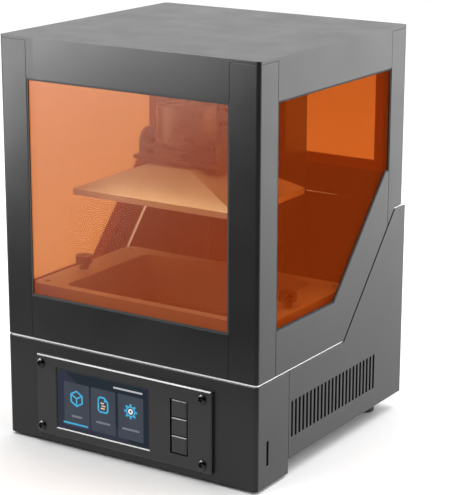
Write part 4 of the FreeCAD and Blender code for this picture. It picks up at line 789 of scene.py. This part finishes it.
def draw_page(mesh, to_point):
    """A sheet of paper with cut corners and one corner folded over."""
    x, z = ICON_CENTRES[1]
    left, right, low, high = x - PAGE_HALF, x + PAGE_HALF, z - PAGE_HIGH, z + PAGE_HIGH
    fold = (right - PAGE_FOLD, high)
    crease = (right, high - PAGE_FOLD)
    hoop(mesh, to_point, [(left + PAGE_CUT, low), (right - PAGE_CUT, low), (right, low + PAGE_CUT), crease,
                          fold, (left + PAGE_CUT, high), (left, high - PAGE_CUT), (left, low + PAGE_CUT)],
         STROKE)
    fill(mesh, to_point, [fold, (right - PAGE_FOLD, high - PAGE_FOLD), crease])


def draw_page_lines(mesh, to_point):
    x, z = ICON_CENTRES[1]
    for row, (start, end) in enumerate(PAGE_LINES):
        height = z + PAGE_LINE_TOP - row * PAGE_LINE_STEP
        line(mesh, to_point, (x + start, height), (x + end, height), PAGE_LINE_WIDTH)


def draw_gear(mesh, to_point):
    centre = Vector(ICON_CENTRES[2])
    hoop(mesh, to_point, circle(centre, GEAR_RADIUS, GEAR_SIDES), GEAR_RIM)
    for index in range(GEAR_TEETH):
        angle = 2 * math.pi * index / GEAR_TEETH
        toward = Vector((math.cos(angle), math.sin(angle)))
        line(mesh, to_point, centre + toward * TOOTH_ROOT, centre + toward * TOOTH_TIP, TOOTH_WIDTH)


def draw_gear_hub(mesh, to_point):
    hoop(mesh, to_point, circle(ICON_CENTRES[2], HUB_RADIUS, HUB_SIDES), HUB_RIM)


def draw_labels(mesh, to_point):
    """Plain bars where a machine would name its tiles."""
    for (x, _), width in zip(ICON_CENTRES, LABEL_WIDTHS):
        fill(mesh, to_point, rounded(x - width / 2, LABEL_HIGH - LABEL_HALF,
                                     x + width / 2, LABEL_HIGH + LABEL_HALF, LABEL_CORNER))


def draw_underline(mesh, to_point):
    """The line under the chosen tile."""
    fill(mesh, to_point, rectangle(*UNDERLINE))


def draw_title(mesh, to_point):
    """A plain bar where a machine would show its title."""
    fill(mesh, to_point, rounded(*TITLE, TITLE_CORNER))


# Name, layer above the glass, finish and drawing of each piece of the picture.
PICTURE_LAYERS = (
    ("picture_background", 0, "screen_wallpaper", draw_background),
    ("picture_tiles", 1, "screen_tile", draw_tiles),
    ("picture_cube", 2, "screen_icon", draw_cube),
    ("picture_page", 2, "screen_icon", draw_page),
    ("picture_gear", 2, "screen_icon", draw_gear),
    ("picture_underline", 2, "screen_icon", draw_underline),
    ("picture_page_lines", 3, "screen_peach", draw_page_lines),
    ("picture_gear_hub", 3, "screen_white", draw_gear_hub),
    ("picture_labels", 2, "screen_grey", draw_labels),
    ("picture_title", 2, "screen_title", draw_title),
)


def make_picture(materials):
    """Three tiles with an icon each: a cube, a page and a gear wheel, all generic, with bars for labels."""
    glass_low, glass_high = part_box("display_glass")
    face = depth_of(glass_low[1])
    middle = (glass_low[0] + glass_high[0]) / 2 / MM
    for name, number, finish, draw in PICTURE_LAYERS:
        mesh = bmesh.new()
        draw(mesh, lambda u, v, w: at(middle + u, face - (number + w) * PICTURE_THICK, v))
        finish_piece(name, mesh, "base", materials[finish])


# ---------------------------------------------------------------- light, floor and camera

FLOOR_SIZE = 14
FLOOR_PALE = (0.88, 0.88, 0.88)
FLOOR_ROUGHNESS = 0.8
WORLD_DARK = 0.035
WORLD_BACK = 1.05
WORLD_RIGHT = 3.7
# Where the world's brightness rises, as parts of a direction along one axis.
BACK_RISE = (-0.1, 0.45)
RIGHT_RISE = (-0.1, 0.5)
RIGHT_BACK_RISE = (0.0, 0.6)
RIGHT_HEIGHT_RISE = (-0.38, -0.10)

# Place, target, size in metres and radiance of the lights and cards.
OVERHEAD = ((0, 0, 3.0), (0, 0, 0), (3.4, 3.4), 2.4)
FRONT_FILL = ((-1.2, -1.9, 1.9), (0, 0, 0), (1.6, 1.6), 5.0)
CHAMBER_FILL = ((-0.005, -0.04, 0.333), (-0.005, -0.04, 0.2), (0.22, 0.15), 4.8)
CHAMBER_COLOR = (1.0, 0.60, 0.32)
FLOOR_CARD = ((-0.15, -0.227, 0.002), (-0.15, -0.227, 1.0), (0.9, 0.21), 0.75)
EDGE_CARD = ((-1.04, -0.65, 1.75), (0, -0.12, 0.08), (0.9, 0.9), 24.0)
CARD_Y = -0.45
RAIL_CARD = ((-0.335, CARD_Y, 0.395), (-0.335, 0, 0.395), (0.48, 0.29), 6.0)
# Two cards lean to the left. Their lower edges pass through these places, given as (x, z).
CARD_LEAN = 43.8
GLARE_EDGE = (-0.230, 0.129)
GLARE_CARD_SIZE = (0.62, 0.40)
GLARE_CARD_GLOW = 5.0
CORNER_EDGE = (-0.350, 0.218)
CORNER_CARD_SIZE = (0.60, 0.34)
CORNER_CARD_GLOW = 9.0

CAMERA_PLACE = (0.81288, -1.23142, 0.56228)
CAMERA_YAW = 32.485
CAMERA_PITCH = 15.330
CAMERA_ROLL = 0.276
CAMERA_LENS = 129.36
CAMERA_SENSOR = 36
CAMERA_NEAR = 0.05
CAMERA_FAR = 50


def make_floor():
    bpy.ops.mesh.primitive_plane_add(size=FLOOR_SIZE)
    floor = bpy.context.object
    floor.name = "floor"
    floor.visible_glossy = False
    paint = Paint("floor_pale", FLOOR_PALE, FLOOR_ROUGHNESS, specular=0.1)
    paint.vary_color(paint.noise(scale=2, detail=2), amount=0.01)
    floor.data.materials.append(paint.material)


def area_light(name, place, target, size, radiance, roll=0.0, color=(1, 1, 1)):
    """A soft rectangular light of a given brightness, turned in its own plane by roll degrees."""
    data = bpy.data.lights.new(name, "AREA")
    data.shape = "RECTANGLE"
    data.size, data.size_y = size
    data.energy = radiance * math.pi * size[0] * size[1]
    data.color = color
    lamp = bpy.data.objects.new(name, data)
    lamp.location = place
    aim = (Vector(target) - Vector(place)).to_track_quat("-Z", "Y").to_matrix().to_4x4()
    lamp.matrix_world = Matrix.Translation(place) @ aim @ Matrix.Rotation(math.radians(roll), 4, "Z")
    lamp.visible_camera = False
    bpy.context.scene.collection.objects.link(lamp)
    return lamp


def make_world():
    """A studio that is bright behind the machine, brightest at the right, and dark in front of it."""
    world = bpy.data.worlds.new("studio")
    world.use_nodes = True
    tree = world.node_tree
    background = tree.nodes["Background"]
    background.inputs["Color"].default_value = (1, 1, 1, 1)
    coords = tree.nodes.new("ShaderNodeTexCoord")
    split = tree.nodes.new("ShaderNodeSeparateXYZ")
    tree.links.new(coords.outputs["Generated"], split.inputs["Vector"])

    def ramp(source, reach, low, high):
        start, end = reach
        made = tree.nodes.new("ShaderNodeMapRange")
        made.interpolation_type = "SMOOTHSTEP"
        for socket, value in (("From Min", start), ("From Max", end), ("To Min", low), ("To Max", high)):
            made.inputs[socket].default_value = value
        tree.links.new(source, made.inputs["Value"])
        return made.outputs["Result"]

    def combine(operation, first, second):
        made = tree.nodes.new("ShaderNodeMath")
        made.operation = operation
        tree.links.new(first, made.inputs[0])
        tree.links.new(second, made.inputs[1])
        return made.outputs["Value"]

    back = ramp(split.outputs["Y"], BACK_RISE, WORLD_DARK, WORLD_BACK)
    right = combine("MULTIPLY", ramp(split.outputs["X"], RIGHT_RISE, 0.0, WORLD_RIGHT),
                    ramp(split.outputs["Y"], RIGHT_BACK_RISE, 0.0, 1.0))
    low_right = combine("MULTIPLY", right, ramp(split.outputs["Z"], RIGHT_HEIGHT_RISE, 0.0, 1.0))
    tree.links.new(combine("ADD", back, low_right), background.inputs["Strength"])
    bpy.context.scene.world = world


def card(edge, size):
    """Place, target and size of a card that stands on a slanted line and reaches up to the left."""
    lean = math.radians(CARD_LEAN)
    x = edge[0] - math.sin(lean) * size[1] / 2
    z = edge[1] + math.cos(lean) * size[1] / 2
    return (x, CARD_Y, z), (x, 0, z), size


def make_light():
    make_world()
    area_light("overhead", *OVERHEAD)
    area_light("front_fill", *FRONT_FILL)
    chamber = area_light("chamber_fill", *CHAMBER_FILL, color=CHAMBER_COLOR)
    chamber.visible_glossy = False
    glare = card(GLARE_EDGE, GLARE_CARD_SIZE)
    corner = card(CORNER_EDGE, CORNER_CARD_SIZE)
    cards = (area_light("corner_card", *corner, CORNER_CARD_GLOW, CARD_LEAN),
             area_light("rail_card", *RAIL_CARD),
             area_light("floor_card", *FLOOR_CARD),
             area_light("edge_card", *EDGE_CARD),
             area_light("glare_card", *glare, GLARE_CARD_GLOW, CARD_LEAN))
    for lamp in cards:
        lamp.visible_diffuse = False
    polished = bpy.data.collections.new("polished")
    polished.objects.link(frame["nodes"]["front_window"])
    cards[-1].light_linking.receiver_collection = polished


def make_camera():
    data = bpy.data.cameras.new("camera")
    data.sensor_width = CAMERA_SENSOR
    data.lens = CAMERA_LENS
    data.clip_start = CAMERA_NEAR
    data.clip_end = CAMERA_FAR
    camera = bpy.data.objects.new("camera", data)
    turn = (Matrix.Rotation(math.radians(CAMERA_YAW), 4, "Z")
            @ Matrix.Rotation(math.radians(90 - CAMERA_PITCH), 4, "X")
            @ Matrix.Rotation(math.radians(CAMERA_ROLL), 4, "Z"))
    camera.matrix_world = Matrix.Translation(CAMERA_PLACE) @ turn
    bpy.context.scene.collection.objects.link(camera)
    bpy.context.scene.camera = camera


make_camera()
make_light()
make_floor()
finishes = make_materials()
paint_frame(finishes)
make_beads(finishes)
make_all_screws(finishes)
make_lead_screw(finishes)
make_picture(finishes)
bpy.context.scene.view_settings.view_transform = "Standard"
